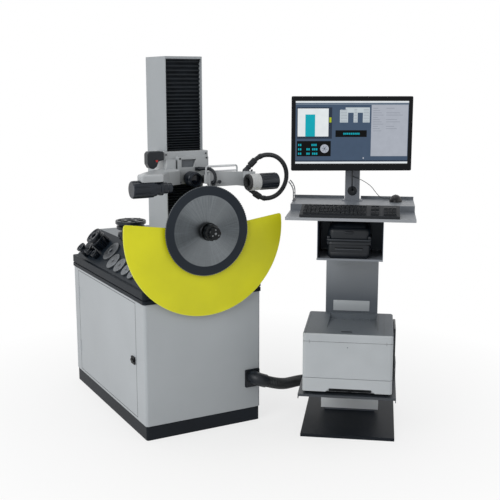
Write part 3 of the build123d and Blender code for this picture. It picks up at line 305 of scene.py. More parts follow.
def addRelief(tree, shader, height, depth, edge=0):
    # shallow bumps from a height, over softly broken edges
    bump = addNode(tree, "ShaderNodeBump", Distance=depth)
    tree.links.new(height, bump.inputs["Height"])
    if edge:
        soft = addNode(tree, "ShaderNodeBevel", samples=4, Radius=edge)
        tree.links.new(soft.outputs["Normal"], bump.inputs["Normal"])
    tree.links.new(bump.outputs["Normal"], shader.inputs["Normal"])


def colourAndRough(tree, shader, colour, rough):
    tree.links.new(colour, shader.inputs["Base Color"])
    tree.links.new(rough, shader.inputs["Roughness"])


def surface(name, colour, rough=0.45, metal=0.0, patina=0.06, patinaScale=5, grain=700, grainDepth=0.02,
            stretch=(1, 1, 1), spread=0.08, coat=0.0, edge=0.0012, speckle=0.0, gloss=0.5):
    # one finish: slow colour drift, fine grain in bump and roughness, and softly broken edges
    material, tree, shader = nodeTree(name)
    drift = ranged(tree, objectNoise(tree, patinaScale, detail=4), 0.3, 0.7, 0, 1)
    base = toned(tree, drift, colour, 1 - patina, 1 + patina)
    if speckle:
        dots = objectNoise(tree, 260, detail=2, rough=0.7)
        base = mixed(tree, ranged(tree, dots, 0.62, 0.74, 0, speckle), base, linear(shade(colour, 1.5)))
    fine = objectNoise(tree, grain, stretch, detail=2, rough=0.6)
    low, high = max(0.03, rough - spread), min(1, rough + spread)
    colourAndRough(tree, shader, base, ranged(tree, fine, 0.25, 0.75, low, high))
    addRelief(tree, shader, fine, grainDepth * mm, edge)
    shader.inputs["Metallic"].default_value = metal
    shader.inputs["Specular IOR Level"].default_value = gloss
    if coat:
        shader.inputs["Coat Weight"].default_value = coat
        shader.inputs["Coat Roughness"].default_value = 0.12
    return material


def glowing(name, colour):
    # a lit patch of the screen, with a faint unevenness
    material, tree, shader = nodeTree(name)
    fine = ranged(tree, objectNoise(tree, 40, detail=2), 0.3, 0.7, 0, 1)
    tree.links.new(toned(tree, fine, colour, 0.97, 1), shader.inputs["Emission Color"])
    shader.inputs["Emission Strength"].default_value = 1.0
    shader.inputs["Base Color"].default_value = linear(shade(colour, 0.15))
    shader.inputs["Roughness"].default_value = 0.25
    shader.inputs["Specular IOR Level"].default_value = 0.1
    return material


bladeSettings = {
    "centre": (0, -0.545, 0.955), "band": 0.161, "edge": 0.2015,  # metres
    # dark and bright are the painted shade and painted highlight of the lobes round the disc; spokes is how
    # many painted sheen streaks there are
    "steel": (0.34, 0.36, 0.375), "dark": (0.1, 0.11, 0.12), "bright": (0.75, 0.77, 0.78),
    "bandColour": (0.155, 0.175, 0.20), "toothColour": (0.36, 0.375, 0.39), "spokes": 26,
    "sheenLobes": [(2, pi, 0.7), (1, 0.5, 0.3), (4, pi, 0.25)],  # waves round the disc, start and share of each
}


def bladeSurface():
    # turned rings on a ground disc, painted sheen streaks and lobes of painted highlight and shade round it, a
    # darker band towards the rim and brighter tooth tips
    s = bladeSettings
    material, tree, shader = nodeTree("bladeSteel")
    x, _, z = separateParts(tree, s["centre"])
    radius, angle = fromAxis(tree, x, z)
    sine, cosine = calc(tree, "SINE", angle), calc(tree, "COSINE", angle)

    def times(value, factor):
        return calc(tree, "MULTIPLY", value, factor)

    rings = noiseAt(tree, times(radius, 1400), times(sine, 1.2), times(cosine, 1.2), Scale=1.0, Detail=3)
    steel = toned(tree, ranged(tree, rings, 0.3, 0.7, 0, 1), s["steel"], 0.88, 1.08)
    # radial streaks that lighten the steel where the broad sheen noise lets them: painted sheen
    sheenRays = noiseAt(tree, times(sine, s["spokes"]), times(cosine, s["spokes"]), times(radius, 9), Scale=1.0,
                   Detail=5,
                   Roughness=0.7)
    sheen = noiseAt(tree, sine, cosine, Scale=1.6)
    sheenStreak = times(ranged(tree, sheenRays, 0.42, 0.72, 0, 1), ranged(tree, sheen, 0.42, 0.62, 0.25, 1))
    steel = mixed(tree, times(sheenStreak, 0.45), steel, linear(shade(s["steel"], 1.6)))
    # broad lobes by angle mix the steel towards the dark and the bright tone: painted shade and highlight
    sheenLobes = 0
    for waves, start, share in s["sheenLobes"]:
        wave = calc(tree, "COSINE", calc(tree, "ADD", times(angle, waves), start))
        sheenLobes = calc(tree, "ADD", times(wave, share), sheenLobes)
    steel = mixed(tree, ranged(tree, sheenLobes, -0.8, 0.8, 0, 1), mixed(tree, 0.24, steel, linear(s["dark"])),
                  mixed(tree, 0.16, steel, linear(s["bright"])))
    inBand = ranged(tree, radius, s["band"] - 0.0006, s["band"] + 0.0006, 0, 1)
    inTeeth = ranged(tree, radius, s["edge"] - 0.0004, s["edge"] + 0.0004, 0, 1)
    colour = mixed(tree, inBand, steel, linear(s["bandColour"]))
    colour = mixed(tree, inTeeth, colour, linear(s["toothColour"]))
    colourAndRough(tree, shader, colour, ranged(tree, inBand, 0, 1, 0.36, 0.5))
    shader.inputs["Metallic"].default_value = 0.85
    shader.inputs["Anisotropic"].default_value = 0.6
    # the grinding runs round the blade
    around = addNode(tree, "ShaderNodeCombineXYZ")
    tree.links.new(times(z, -1), around.inputs["X"])
    tree.links.new(x, around.inputs["Z"])
    tangent = addNode(tree, "ShaderNodeVectorTransform", vector_type="VECTOR", convert_from="OBJECT",
                      convert_to="WORLD")
    tree.links.new(around.outputs["Vector"], tangent.inputs["Vector"])
    tree.links.new(tangent.outputs["Vector"], shader.inputs["Tangent"])
    addRelief(tree, shader, rings, 0.00002)
    return material


coverSettings = {"ledge": (0.50, 0.52, 0.535), "slope": (0.085, 0.115, 0.145)}


def coverSurface():
    # pale level ledge, dark slopes and upright faces, told apart by the way each face points: the cover's own
    # two tones, and painted shade on the upright faces
    s = coverSettings
    material, tree, shader = nodeTree("coverPaintAndShade")
    place = addNode(tree, "ShaderNodeTexCoord")
    parts = addNode(tree, "ShaderNodeSeparateXYZ")
    tree.links.new(place.outputs["Normal"], parts.inputs["Vector"])
    # faces that point up get the pale colour and all others the dark one, which paints shade on the upright
    # faces
    level = ranged(tree, parts.outputs["Z"], 0.85, 0.95, 0, 1)
    tint = addNode(tree, "ShaderNodeVectorMath", operation="SCALE")
    tree.links.new(mixed(tree, level, linear(s["slope"]), linear(s["ledge"])), tint.inputs[0])
    tree.links.new(ranged(tree, objectNoise(tree, 6, detail=4), 0.3, 0.7, 0.93, 1.05), tint.inputs["Scale"])
    fine = objectNoise(tree, 800, detail=2)
    colourAndRough(tree, shader, tint.outputs["Vector"], ranged(tree, fine, 0.3, 0.7, 0.4, 0.52))
    shader.inputs["Specular IOR Level"].default_value = 0.15
    addRelief(tree, shader, fine, 0.00003)
    return material


# centre and radius in metres
guardSettings = {"centre": (0, 0, 0.955), "radius": 0.393, "yellow": (0.88, 0.87, 0.06),
                 "rim": (0.94, 0.94, 0.32)}


def guardSurface():
    # yellow satin paint, paler where the cut rim catches the light
    s = guardSettings
    material, tree, shader = nodeTree("guardPaint")
    x, _, z = separateParts(tree, s["centre"])
    radius = fromAxis(tree, x, z)[0]
    drift = ranged(tree, objectNoise(tree, 4, detail=4), 0.3, 0.7, 0, 1)
    rim = ranged(tree, radius, s["radius"] - 0.0035, s["radius"] - 0.002, 0, 0.7)
    colour = mixed(tree, rim, toned(tree, drift, s["yellow"], 0.96, 1.03), linear(s["rim"]))
    fine = objectNoise(tree, 900, detail=2)
    colourAndRough(tree, shader, colour, ranged(tree, fine, 0.3, 0.7, 0.36, 0.48))
    addRelief(tree, shader, fine, 0.00003, 0.001)
    return material


clothSettings = {"tip": (-0.2955, -0.2975), "dark": (0.035, 0.055, 0.075), "dusty": (0.065, 0.09, 0.115),
                 "foldHighlight": (0.24, 0.26, 0.28)}


def bellowsSurface():
    # coated cloth with a fine weave and a painted highlight in grey at the fold tips, between two depths in
    # metres
    s = clothSettings
    material, tree, shader = nodeTree("bellowsCloth")
    y = separateParts(tree)["Y"]
    tip = ranged(tree, y, *s["tip"], 0, 1)
    weave = addNode(tree, "ShaderNodeTexWave", wave_type="BANDS", bands_direction="X", Scale=260)
    place = addNode(tree, "ShaderNodeTexCoord")
    tree.links.new(place.outputs["Object"], weave.inputs["Vector"])
    dust = ranged(tree, objectNoise(tree, 30, detail=4), 0.35, 0.65, 0, 1)
    colour = mixed(tree, dust, linear(s["dark"]), linear(s["dusty"]))
    # the fold tips turn grey: painted highlight
    colour = mixed(tree, tip, colour, linear(s["foldHighlight"]))
    colourAndRough(tree, shader, colour, ranged(tree, dust, 0, 1, 0.48, 0.62))
    shader.inputs["Specular IOR Level"].default_value = 0.3
    addRelief(tree, shader, weave.outputs["Fac"], 0.00006)
    return material


def consoleParts(tree):
    # the shading point in the console's own directions
    s = consoleSettings
    x, y, z = separateParts(tree, (s["x"] * mm, s["y"] * mm, 0))
    turn = radians(s["turn"])
    pairs = ((cos(turn), sin(turn)), (-sin(turn), cos(turn)))
    along, deep = (calc(tree, "ADD", calc(tree, "MULTIPLY", x, a), calc(tree, "MULTIPLY", y, b)) for a,
                   b in pairs)
    return along, deep, z


def twoTone(name, axis, edge, below, above, rough=0.45):
    # one colour below an edge along a console direction and another above it, both slightly uneven
    material, tree, shader = nodeTree(name)
    part = consoleParts(tree)[axis]
    drift = objectNoise(tree, 5, detail=2)
    fine = objectNoise(tree, 900, detail=1)
    low, high = (toned(tree, drift, colour, 0.93, 1.07) for colour in (below, above))
    colour = mixed(tree, ranged(tree, part, edge, edge + 0.0006, 0, 1), low, high)
    colourAndRough(tree, shader, colour, ranged(tree, fine, 0.3, 0.7, rough - 0.06, rough + 0.06))
    shader.inputs["Specular IOR Level"].default_value = 0.35
    addRelief(tree, shader, fine, 0.00005)
    return material


# low and high in metres; dark and light are the ends of the painted shade up the column
columnSettings = {
    "low": 0.58, "high": 0.80, "dark": (0.345, 0.37, 0.40), "light": (0.60, 0.62, 0.64),
    "patch": (0.2, 0.22, 0.24),
}


def consoleColumnSurface():
    # satin grey with painted shade: darker low on the column, lighter higher up
    s = columnSettings
    material, tree, shader = nodeTree("columnPaintWithShade")
    z = separateParts(tree)["Z"]
    drift = objectNoise(tree, 4, detail=2)
    # painted shade: dark below low, light above high
    tone = mixed(tree, ranged(tree, z, s["low"], s["high"], 0, 1), linear(s["dark"]), linear(s["light"]))
    colour = mixed(tree, ranged(tree, drift, 0.3, 0.7, 0, 0.1), tone, linear(s["patch"]))
    colourAndRough(tree, shader, colour, ranged(tree, drift, 0.3, 0.7, 0.34, 0.46))
    addRelief(tree, shader, objectNoise(tree, 900, detail=1), 0.00004)
    return material


# axis, inner radius and tail in metres; ridges round the ring, and along it to the metre
ringSettings = {
    "axis": (0, -0.545, 1.163), "inner": 0.0362, "tail": 0.214, "ridges": 72, "alongRidges": 900,
    "pale": (0.76, 0.77, 0.77), "dark": (0.05, 0.06, 0.07),
}


def ringSurface():
    # pale knurled band with painted shade in the knurl's grooves and painted highlight on its ridges, black in
    # the mouth of the ring
    s = ringSettings
    material, tree, shader = nodeTree("paleRing")
    x, y, z = separateParts(tree, s["axis"])
    radius, angle = fromAxis(tree, y, z)
    ridge = calc(tree, "SINE", calc(tree, "MULTIPLY", angle, s["ridges"]))
    along = calc(tree, "SINE", calc(tree, "MULTIPLY", x, s["alongRidges"]))
    knurl = calc(tree, "MULTIPLY", ridge, along)
    # the knurl darkens the grooves and lightens the ridges: painted shade and highlight
    pale = toned(tree, ranged(tree, knurl, -1, 1, 0, 1), s["pale"], 0.7, 1.12)
    outside = calc(tree, "MULTIPLY", ranged(tree, radius, s["inner"], s["inner"] + 0.0006, 0, 1),
                   ranged(tree, x, s["tail"], s["tail"] + 0.0006, 0, 1))
    colour = mixed(tree, outside, linear(s["dark"]), pale)
    colourAndRough(tree, shader, colour, ranged(tree, knurl, -1, 1, 0.36, 0.5))
    addRelief(tree, shader, knurl, 0.0002)
    return material


buttonSettings = {"faceY": -0.3412, "red": (0.86, 0.05, 0.06), "dark": (0.07, 0.08, 0.09)}  # faceY in metres


def buttonSurface():
    # a dark disc whose raised wedge is red
    s = buttonSettings
    material, tree, shader = nodeTree("redButton")
    y = separateParts(tree)["Y"]
    raisedPart = ranged(tree, y, s["faceY"], s["faceY"] - 0.0002, 0, 1)
    drift = objectNoise(tree, 90, detail=2)
    colour = mixed(tree, raisedPart, linear(s["dark"]), toned(tree, drift, s["red"], 0.9, 1.08))
    colourAndRough(tree, shader, colour, ranged(tree, drift, 0.3, 0.7, 0.28, 0.38))
    return material


# colours that more than one finish takes
shared = {"shell": (0.715, 0.735, 0.75), "moulding": (0.345, 0.37, 0.395)}
finishes = {
    "light_paint": surface("lightPaint", (0.675, 0.695, 0.71), rough=0.42, patina=0.018, patinaScale=3,
                           grain=900,
                           grainDepth=0.03),
    "dark_paint": surface("darkPaint", (0.075, 0.095, 0.12), rough=0.5, patina=0.12, grain=900, grainDepth=0.04,
                          gloss=0.15),
    "board": surface("boardLaminate", (0.075, 0.10, 0.125), rough=0.5, patina=0.06, grain=450, grainDepth=0.05,
                     stretch=(1, 0.2, 1), speckle=0.2, gloss=0.12),
    "cover_paint": coverSurface(),
    "casting_paint": surface("castingPaint", (0.665, 0.68, 0.69), rough=0.36, patina=0.03, patinaScale=8,
                             grain=220, grainDepth=0.09, coat=0.1, edge=0.002),
    "cast_iron": surface("castIron", (0.40, 0.41, 0.42), rough=0.5, metal=0.6, patina=0.12, grain=500,
                         grainDepth=0.08),
    "bright_steel": surface("brightSteel", (0.55, 0.565, 0.58), rough=0.32, metal=0.9, patina=0.08, grain=600,
                            grainDepth=0.01, stretch=(1, 12, 1)),
    "chrome": surface("platedMetal", (0.62, 0.63, 0.65), rough=0.2, metal=0.95, grainDepth=0.004),
    "black_plastic": surface("blackMoulding", (0.045, 0.072, 0.10), rough=0.4, patina=0.15, patinaScale=12,
                             grain=1400, grainDepth=0.05, gloss=0.35),
    "black_metal": surface("blackAnodised", (0.06, 0.09, 0.125), rough=0.3, metal=0.2, patina=0.15,
                           patinaScale=10,
                           grain=1100, gloss=0.4),
    "bellows_cloth": bellowsSurface(),
    "guard_paint": guardSurface(),
    "console_paint": surface("consolePaint", (0.45, 0.47, 0.50), rough=0.42, patina=0.03, patinaScale=4,
                             grain=900,
                             grainDepth=0.03),
    "printer_shell": surface("paleMoulding", shared["shell"], rough=0.5, patina=0.015, grain=1300,
                             grainDepth=0.04),
    "printer_dark": surface("greyMoulding", shared["moulding"], rough=0.5, patina=0.05, grain=1300,
                            grainDepth=0.05),
    "gloss_black": surface("glossBlack", (0.02, 0.03, 0.045), rough=0.3, patina=0.1, grainDepth=0.003,
                           spread=0.04,
                           gloss=0.15),
    "screen_glass": surface("darkGlass", (0.04, 0.05, 0.06), rough=0.15, patina=0.08, grainDepth=0.001,
                            spread=0.03,
                            edge=0, gloss=0.3),
    "hose_rubber": surface("hoseRubber", (0.075, 0.09, 0.105), patina=0.15, patinaScale=20, grain=900,
                           grainDepth=0.05, edge=0, gloss=0.4),
    "pale_metal": ringSurface(),
    "red_plastic": buttonSurface(),
}
# nodes whose finish differs from that of their slot
ownFinish = {
    "saw_blade": bladeSurface(),
    "clamp_flange": surface("blackenedSteel", (0.12, 0.13, 0.14), rough=0.28, metal=0.8, patina=0.1,
                            grainDepth=0.01),
    "clamp_knob": surface("knobMoulding", (0.028, 0.042, 0.056), rough=0.24, patina=0.15, patinaScale=20,
                          grain=1400,
                          grainDepth=0.03, gloss=0.2),
    "console_column": consoleColumnSurface(),
    "printer_shelf": surface("shelfPaint", (0.19, 0.21, 0.235), rough=0.42, grain=900, grainDepth=0.03),
    "label_compartment": twoTone("compartmentPaint", 2, 0.8265, (0.50, 0.52, 0.545), (0.28, 0.32, 0.37)),
    # the tray's lighter front part is a painted highlight on its lip
    "keyboard_tray": twoTone("trayPaintAndLipHighlight", 1, -0.2795, (0.60, 0.615, 0.635), (0.43, 0.45, 0.475), rough=0.38),
    "keyboard": surface("keyMoulding", (0.05, 0.07, 0.09), rough=0.5, patina=0.1, grain=1400, grainDepth=0.05,
                        gloss=0.3),
    "mouse": surface("mouseMoulding", (0.03, 0.04, 0.055), rough=0.42, patina=0.1, grain=900, grainDepth=0.01,
                     gloss=0.25),
    "door_latch": surface("latchMoulding", (0.025, 0.03, 0.04), rough=0.5, patina=0.1, grainDepth=0.01,
                          gloss=0.2),
    "column_housing": surface("columnHousingPaint", (0.60, 0.62, 0.635), patina=0.018, patinaScale=3, grain=900,
                              grainDepth=0.03),
    "stored_discs": surface("storedSteel", (0.405, 0.42, 0.435), rough=0.4, metal=0.8, patina=0.12, grain=500,
                            grainDepth=0.01, stretch=(1, 8, 1)),
    # pale lid front and dark top; the pale reaches about 8 mm onto the top as a painted highlight on the
    # rounded lip
    "printer_top": twoTone("lidMouldingAndLipHighlight", 1, -0.3875, shared["shell"], shared["moulding"], rough=0.5),
    "printer_body": twoTone("printerMoulding", 0, 0.2102, shared["shell"], (0.10, 0.12, 0.14), rough=0.5),
    "wire_rack": surface("rackWire", (0.45, 0.46, 0.48), rough=0.35, metal=0.7, patina=0.05, grainDepth=0.005,
                         edge=0),
}
slotOfNode = {part["node"]: part["material_slot"] for part in frame["record"]["subparts"]}


def dressNodes():
    for name, obj in nodes.items():
        obj.data.materials.clear()
        obj.data.materials.append(ownFinish.get(name) or finishes[slotOfNode[name]])
    print("finishes on", len(nodes), "nodes")


dressNodes()


# cords and hoses: each follows the points of its solid
def cordLine(name, points, thickness=0.0, resolution=10):
    data = bpy.data.curves.new(name, "CURVE")
    data.dimensions = "3D"
    data.resolution_u = resolution
    data.twist_mode = "MINIMUM"
    spline = data.splines.new("NURBS")
    spline.points.add(len(points) - 1)
    for point, place in zip(spline.points, points):
        point.co = (*place, 1)
    spline.order_u = 3
    spline.use_endpoint_u = True
    if thickness:
        data.bevel_depth = thickness / 2
        data.bevel_resolution = 4
        data.use_fill_caps = True
    line = bpy.data.objects.new(name, data)
    bpy.context.scene.collection.objects.link(line)
    return line


def linePoints(line):
    # the drawn line as points, from a throwaway copy turned to a mesh
    twin = line.copy()
    twin.data = line.data.copy()
    twin.data.bevel_depth = 0
    bpy.context.scene.collection.objects.link(twin)
    pick(twin)
    bpy.ops.object.convert(target="MESH")
    places = [v.co.copy() for v in bpy.context.object.data.vertices]
    bpy.data.objects.remove(bpy.context.object)
    return places, sum((b - a).length for a, b in zip(places, places[1:]))


# one rib: share of the step, and how far up the rib it starts and ends
ribSteps = [(0.18, 0, 0.85), (0.17, 0.85, 1), (0.25, 1, 0.85), (0.18, 0.85, 0), (0.22, 0, 0)]


def ribbedHose(name, points, radius, pitch, depth, sides):
    # one ring of the hose, repeated and bent along the line
    line = cordLine(name + "Line", points, resolution=24)
    places, length = linePoints(line)
    count = round(length / (pitch * mm))
    step = length / count
    valley = (radius - depth) * mm
    deselectAll()
    bpy.ops.mesh.primitive_circle_add(vertices=sides, radius=valley, rotation=(0, pi / 2, 0))
    hose = settle(bpy.context.object)
    bpy.ops.object.mode_set(mode="EDIT")
    bpy.ops.mesh.select_all(action="SELECT")
    x = 0.0
    for share, start, end in ribSteps:
        x += share * step
        grow = (valley + end * depth * mm) / (valley + start * depth * mm)
        bpy.ops.mesh.extrude_region_move(TRANSFORM_OT_translate={"value": (share * step, 0, 0)})
        bpy.ops.transform.resize(value=(1, grow, grow), center_override=(x, 0, 0))
    bpy.ops.object.mode_set(mode="OBJECT")
    applyModifier(hose, "ARRAY", count=count, use_relative_offset=False, use_constant_offset=True,
                  constant_offset_displace=(step, 0, 0), use_merge_vertices=True, merge_threshold=1e-5)
    applyModifier(hose, "CURVE", object=line, deform_axis="POS_X")
    bpy.ops.object.mode_set(mode="EDIT")
    bpy.ops.mesh.select_all(action="DESELECT")
    bpy.ops.mesh.select_non_manifold(extend=False, use_boundary=True, use_wire=False, use_multi_face=False,
                                     use_non_contiguous=False, use_verts=False)
    bpy.ops.mesh.fill_holes(sides=0)
    bpy.ops.mesh.select_all(action="SELECT")
    bpy.ops.mesh.normals_make_consistent(inside=False)
    bpy.ops.object.mode_set(mode="OBJECT")
    bpy.data.objects.remove(line)
    print(name, "length", round(length, 4), "rings", count)
    return hose, places, length


hoseSettings = {
    "conduitHose": {
        "node": "conduit_hose", "body": "base", "lay": "hanging", "radius": 27.5, "pitch": 9.2, "depth": 2.6,
        "sides": 36, "points": [(295, -556, 208), (348, -556, 188), (414, -532, 167), (474.5, -488, 150),
                                (545, -462, 142), (614.5, -472, 142), (662.3, -507.8, 142)],
    },
    "loopHose": {
        "node": "loop_hose", "body": "carriage", "lay": "loose", "radius": 11, "pitch": 5.2, "depth": 1.3,
        "sides": 24, "points": [(250, -477, 1228), (272, -477, 1251.5), (320, -477, 1280), (394, -477, 1274),
                                (447, -477, 1222), (453, -477, 1149), (409, -477, 1087), (340, -477, 1069),
                                (288, -477, 1092), (264, -477, 1114)],
    },
}
# ribbed sleeves on the loop: where along it, radius and length; each rib is about 6 long
sleeveSettings = {"sleeves": ((0.05, 15, 36), (0.155, 12.5, 14), (0.93, 15, 34), (0.84, 12.5, 12)),
                  "neck": 0.86, "rib": 6}


def makeSleeves(places):
    s = sleeveSettings
    sleeves = []
    for share, radius, span in s["sleeves"]:
        at = int(share * (len(places) - 1))
        before, after = Vector(places[at]), Vector(places[at + 1])
        half, low = span / 2, radius * s["neck"]
        outline = [(0, -half), (low, -half)]
        ribs = max(2, int(span / s["rib"]))
        for rib in range(ribs):
            start = -half + rib * span / ribs
            end = start + span / ribs
            outline += [(low, start), (radius, start + 0.8), (radius, end - 1.6), (low, end - 0.8)]
        outline += [(low, half), (0, half)]
        sleeves.append(settle(turnedPiece(outline, 28), facing((before + after) / 2 / mm, after - before)))
    finishPiece(sleeves, "loopSleeves", "carriage", "hose_rubber")


def makeHoses():
    for name, s in hoseSettings.items():
        points = [Vector(p) * mm for p in s["points"]]
        hose, places, length = ribbedHose(name, points, s["radius"], s["pitch"], s["depth"], s["sides"])
        finishPiece([hose], name, s["body"], "hose_rubber")
        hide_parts(s["node"])
    makeSleeves(places)


# in the console's own directions
cordSettings = {
    "mouseLead": {
        "node": "mouse_cord", "thick": 3,
        "points": [(0, 104, 1163), (22, 96, 1158), (58, 94, 1141), (90, 98, 1119), (112, 108, 1089),
                   (134, 128, 1062), (156, 158, 1050), (182, 181, 1048), (204, 187, 1049), (209, 168.4, 1052)],
    },
    "screenLead": {
        "node": "monitor_cable", "thick": 6,
        "points": [(0, 97, 1345), (0, 97, 1308), (2, 88, 1255), (-1, 80, 1200), (0, 76, 1150), (0, 84, 1112),
                   (0, 106, 1096)],
    },
}


def makeCords():
    for name, s in cordSettings.items():
        places = [consolePlace() @ (Vector(p) * mm) for p in s["points"]]
        lead = cordLine(name, places, s["thick"] * mm)
        length = linePoints(lead)[1]
        lead.data.materials.append(finishes["black_plastic"])
        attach(lead, "base")
        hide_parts(s["node"])
        print(name, "length", round(length, 4))


makeHoses()
makeCords()
print("hoses and cords ready")


# bellows in the column's front, in metres
bellowsSettings = {
    "front": -0.2965, "depth": 0.0125, "half": 0.0875, "thick": 0.0012, "round": 0.0011, "dense": 1.35,
    "change": 0.7,
    "upper": (1.299, 1.7135), "upperFolds": 27, "lower": (0.841, 1.149), "lowerFolds": 20,
}
# the strips that hold their fixed ends
stripSettings = {
    "bellowsTopStrip": ((-87.5, -298.5, 1708.5), (87.5, -284, 1714.4), 1.2),
    "bellowsFootStrip": ((-87.5, -298.5, 832), (87.5, -284, 843), 1.2),
}


def pleats(name, low, high, folds, densest):
    # a strip folded step by step; densest is the end, 0 low or 1 high, where the folds lie closest
    s = bellowsSettings
    weights = []
    for fold in range(folds):
        share = (fold + 0.5) / folds
        weights.append(s["dense"] - s["change"] * (share if densest else 1 - share))
    rises = [weight * (high - low) / sum(weights) / 2 for weight in weights]
    deselectAll()
    bpy.ops.mesh.primitive_plane_add(size=1, rotation=(pi / 2, 0, 0))
    strip = bpy.context.object
    strip.dimensions = (2 * s["half"], rises[0], 0)
    settle(strip)
    bpy.ops.object.mode_set(mode="EDIT")
    bpy.ops.mesh.select_all(action="SELECT")
    bpy.ops.transform.translate(value=(0, s["front"] + s["depth"], low + rises[0] / 2))
    bpy.ops.object.mode_set(mode="OBJECT")
    mesh = strip.data
    top = max(v.co.z for v in mesh.vertices)
    for vertex in mesh.vertices:
        vertex.select = abs(vertex.co.z - top) < 1e-6
    for edge in mesh.edges:
        edge.select = all(mesh.vertices[v].select for v in edge.vertices)
    for face in mesh.polygons:
        face.select = False
    bpy.ops.object.mode_set(mode="EDIT")
    bpy.ops.mesh.select_mode(type="EDGE")
    bpy.ops.transform.translate(value=(0, -s["depth"], 0))
    for fold, rise in enumerate(rises):
        bpy.ops.mesh.extrude_region_move(TRANSFORM_OT_translate={"value": (0, s["depth"], rise)})
        if fold + 1 < folds:
            bpy.ops.mesh.extrude_region_move(TRANSFORM_OT_translate={"value": (0, -s["depth"],
                                                                               rises[fold + 1])})
    bpy.ops.mesh.select_all(action="DESELECT")
    bpy.ops.object.mode_set(mode="OBJECT")
    used = {}
    for face in mesh.polygons:
        for key in face.edge_keys:
            used[key] = used.get(key, 0) + 1
    for edge in mesh.edges:
        edge.select = used[edge.key] == 2  # the folds, not the rims
    bpy.ops.object.mode_set(mode="EDIT")
    bpy.ops.mesh.bevel(offset=s["round"], segments=2, affect="EDGES")
    bpy.ops.object.mode_set(mode="OBJECT")
    applyModifier(strip, "SOLIDIFY", thickness=s["thick"], offset=0)
    bpy.ops.object.mode_set(mode="EDIT")
    bpy.ops.mesh.select_all(action="SELECT")
    bpy.ops.mesh.normals_make_consistent(inside=False)
    bpy.ops.object.mode_set(mode="OBJECT")
    bpy.ops.object.shade_smooth_by_angle(angle=radians(50))
    strip.name = name
    mesh.name = name
    mesh.materials.append(finishes["bellows_cloth"])
    return strip


def makeBellows():
    s = bellowsSettings
    upper = pleats("upperBellows", *s["upper"], s["upperFolds"], 0)
    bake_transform(upper)
    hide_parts("bellows_upper")
    lower = pleats("lowerBellows", *s["lower"], s["lowerFolds"], 1)
    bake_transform(lower)
    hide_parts("bellows_lower")
    for name, strip in stripSettings.items():
        finishPiece([box(*strip)], name, "base", "black_metal")
    print("bellows folded")


makeBellows()


# the picture on the screen: plain generic panels, bars and dials, no words
screenSettings = {
    "bezelFront": -50, "lift": 0.25, "left": -263.5, "low": 1234.5, "width": 527, "height": 289.5,
    "dial": {"at": (0.2585, 0.24), "radius": 20, "thick": 0.3, "hand": (0.8, 14, 0.2), "turns": (20, 75, 140)},
}
screenColours = {
    "white": (0.88, 0.90, 0.91), "field": (0.26, 0.325, 0.41), "panel": (0.66, 0.68, 0.72),
    "black": (0.01, 0.015, 0.02),
    "teal": (0.05, 0.64, 0.70), "grey": (0.50, 0.55, 0.60), "pale": (0.74, 0.78, 0.80),
    "line": (0.56, 0.58, 0.62),
    "deep": (0.16, 0.20, 0.26), "leaf": (0.66, 0.72, 0.12),
}
# colour, then left, low, right and high as shares of the screen, and the layer it lies on
screenPatches = [
    ("field", 0.0, 0.0, 1.0, 1.0, 0),
    ("white", 0.0, 0.972, 1.0, 1.0, 1), ("grey", 0.0, 0.945, 1.0, 0.958, 1), ("white", 0.0, 0.0, 1.0, 0.03, 1),
    ("deep", 0.0, 0.034, 1.0, 0.052, 1),
    ("deep", 0.012, 0.40, 0.322, 0.90, 1), ("white", 0.018, 0.436, 0.291, 0.882, 2),
    ("teal", 0.086, 0.436, 0.172, 0.787, 3), ("leaf", 0.298, 0.66, 0.316, 0.74, 2),
    ("black", 0.0126, 0.118, 0.314, 0.363, 1),
    ("pale", 0.391, 0.659, 0.655, 0.898, 1), ("field", 0.391, 0.86, 0.44, 0.898, 2),
    ("field", 0.463, 0.659, 0.512, 0.815, 2), ("field", 0.548, 0.659, 0.594, 0.815, 2),
    ("black", 0.354, 0.427, 0.632, 0.535, 1),
    ("panel", 0.67, 0.118, 0.996, 0.94, 1), ("panel", 0.60, 0.075, 0.612, 0.10, 1),
]
# rows of small marks: colour, left, low, width, height, step across, step up and how many
screenRows = [
    ("line", 0.398, 0.668, 0.057, 0.007, 0, 0.0245, 9), ("line", 0.518, 0.668, 0.024, 0.007, 0, 0.0245, 9),
    ("line", 0.600, 0.668, 0.048, 0.007, 0, 0.0245, 9), ("teal", 0.024, 0.283, 0.010, 0.034, 0, -0.070, 3),
    ("teal", 0.040, 0.283, 0.012, 0.034, 0, -0.070, 3), ("teal", 0.125, 0.283, 0.012, 0.034, 0.017, 0, 0),
    ("teal", 0.142, 0.283, 0.012, 0.034, 0.017, 0, 3), ("teal", 0.098, 0.213, 0.012, 0.034, 0.017, 0, 2),
    ("teal", 0.149, 0.213, 0.012, 0.034, 0.017, 0, 3), ("teal", 0.098, 0.143, 0.012, 0.034, 0.017, 0, 2),
    ("teal", 0.149, 0.143, 0.012, 0.034, 0.017, 0, 3), ("teal", 0.424, 0.465, 0.0115, 0.03, 0.0165, 0, 9),
]
# short and long marks down the pale panel
listSettings = {"rows": 11, "top": 0.88, "step": 0.036, "thick": 0.009, "first": 0.684, "second": 0.80}


def screenMarks():
    marks = list(screenPatches)
    for colour, left, low, width, height, across, up, count in screenRows:
        for mark in range(count):
            x, z = left + across * mark, low + up * mark
            marks.append((colour, x, z, x + width, z + height, 2))
    s = listSettings
    for row in range(s["rows"]):
        low = s["top"] - s["step"] * row
        reach = 0.045 + 0.016 * (row * 5 % 4)
        marks.append(("line", s["first"], low, s["first"] + reach, low + s["thick"], 2))
        if row % 3 != 1:
            marks.append(("line", s["second"], low, s["second"] + reach * 1.6, low + s["thick"], 2))
    return marks


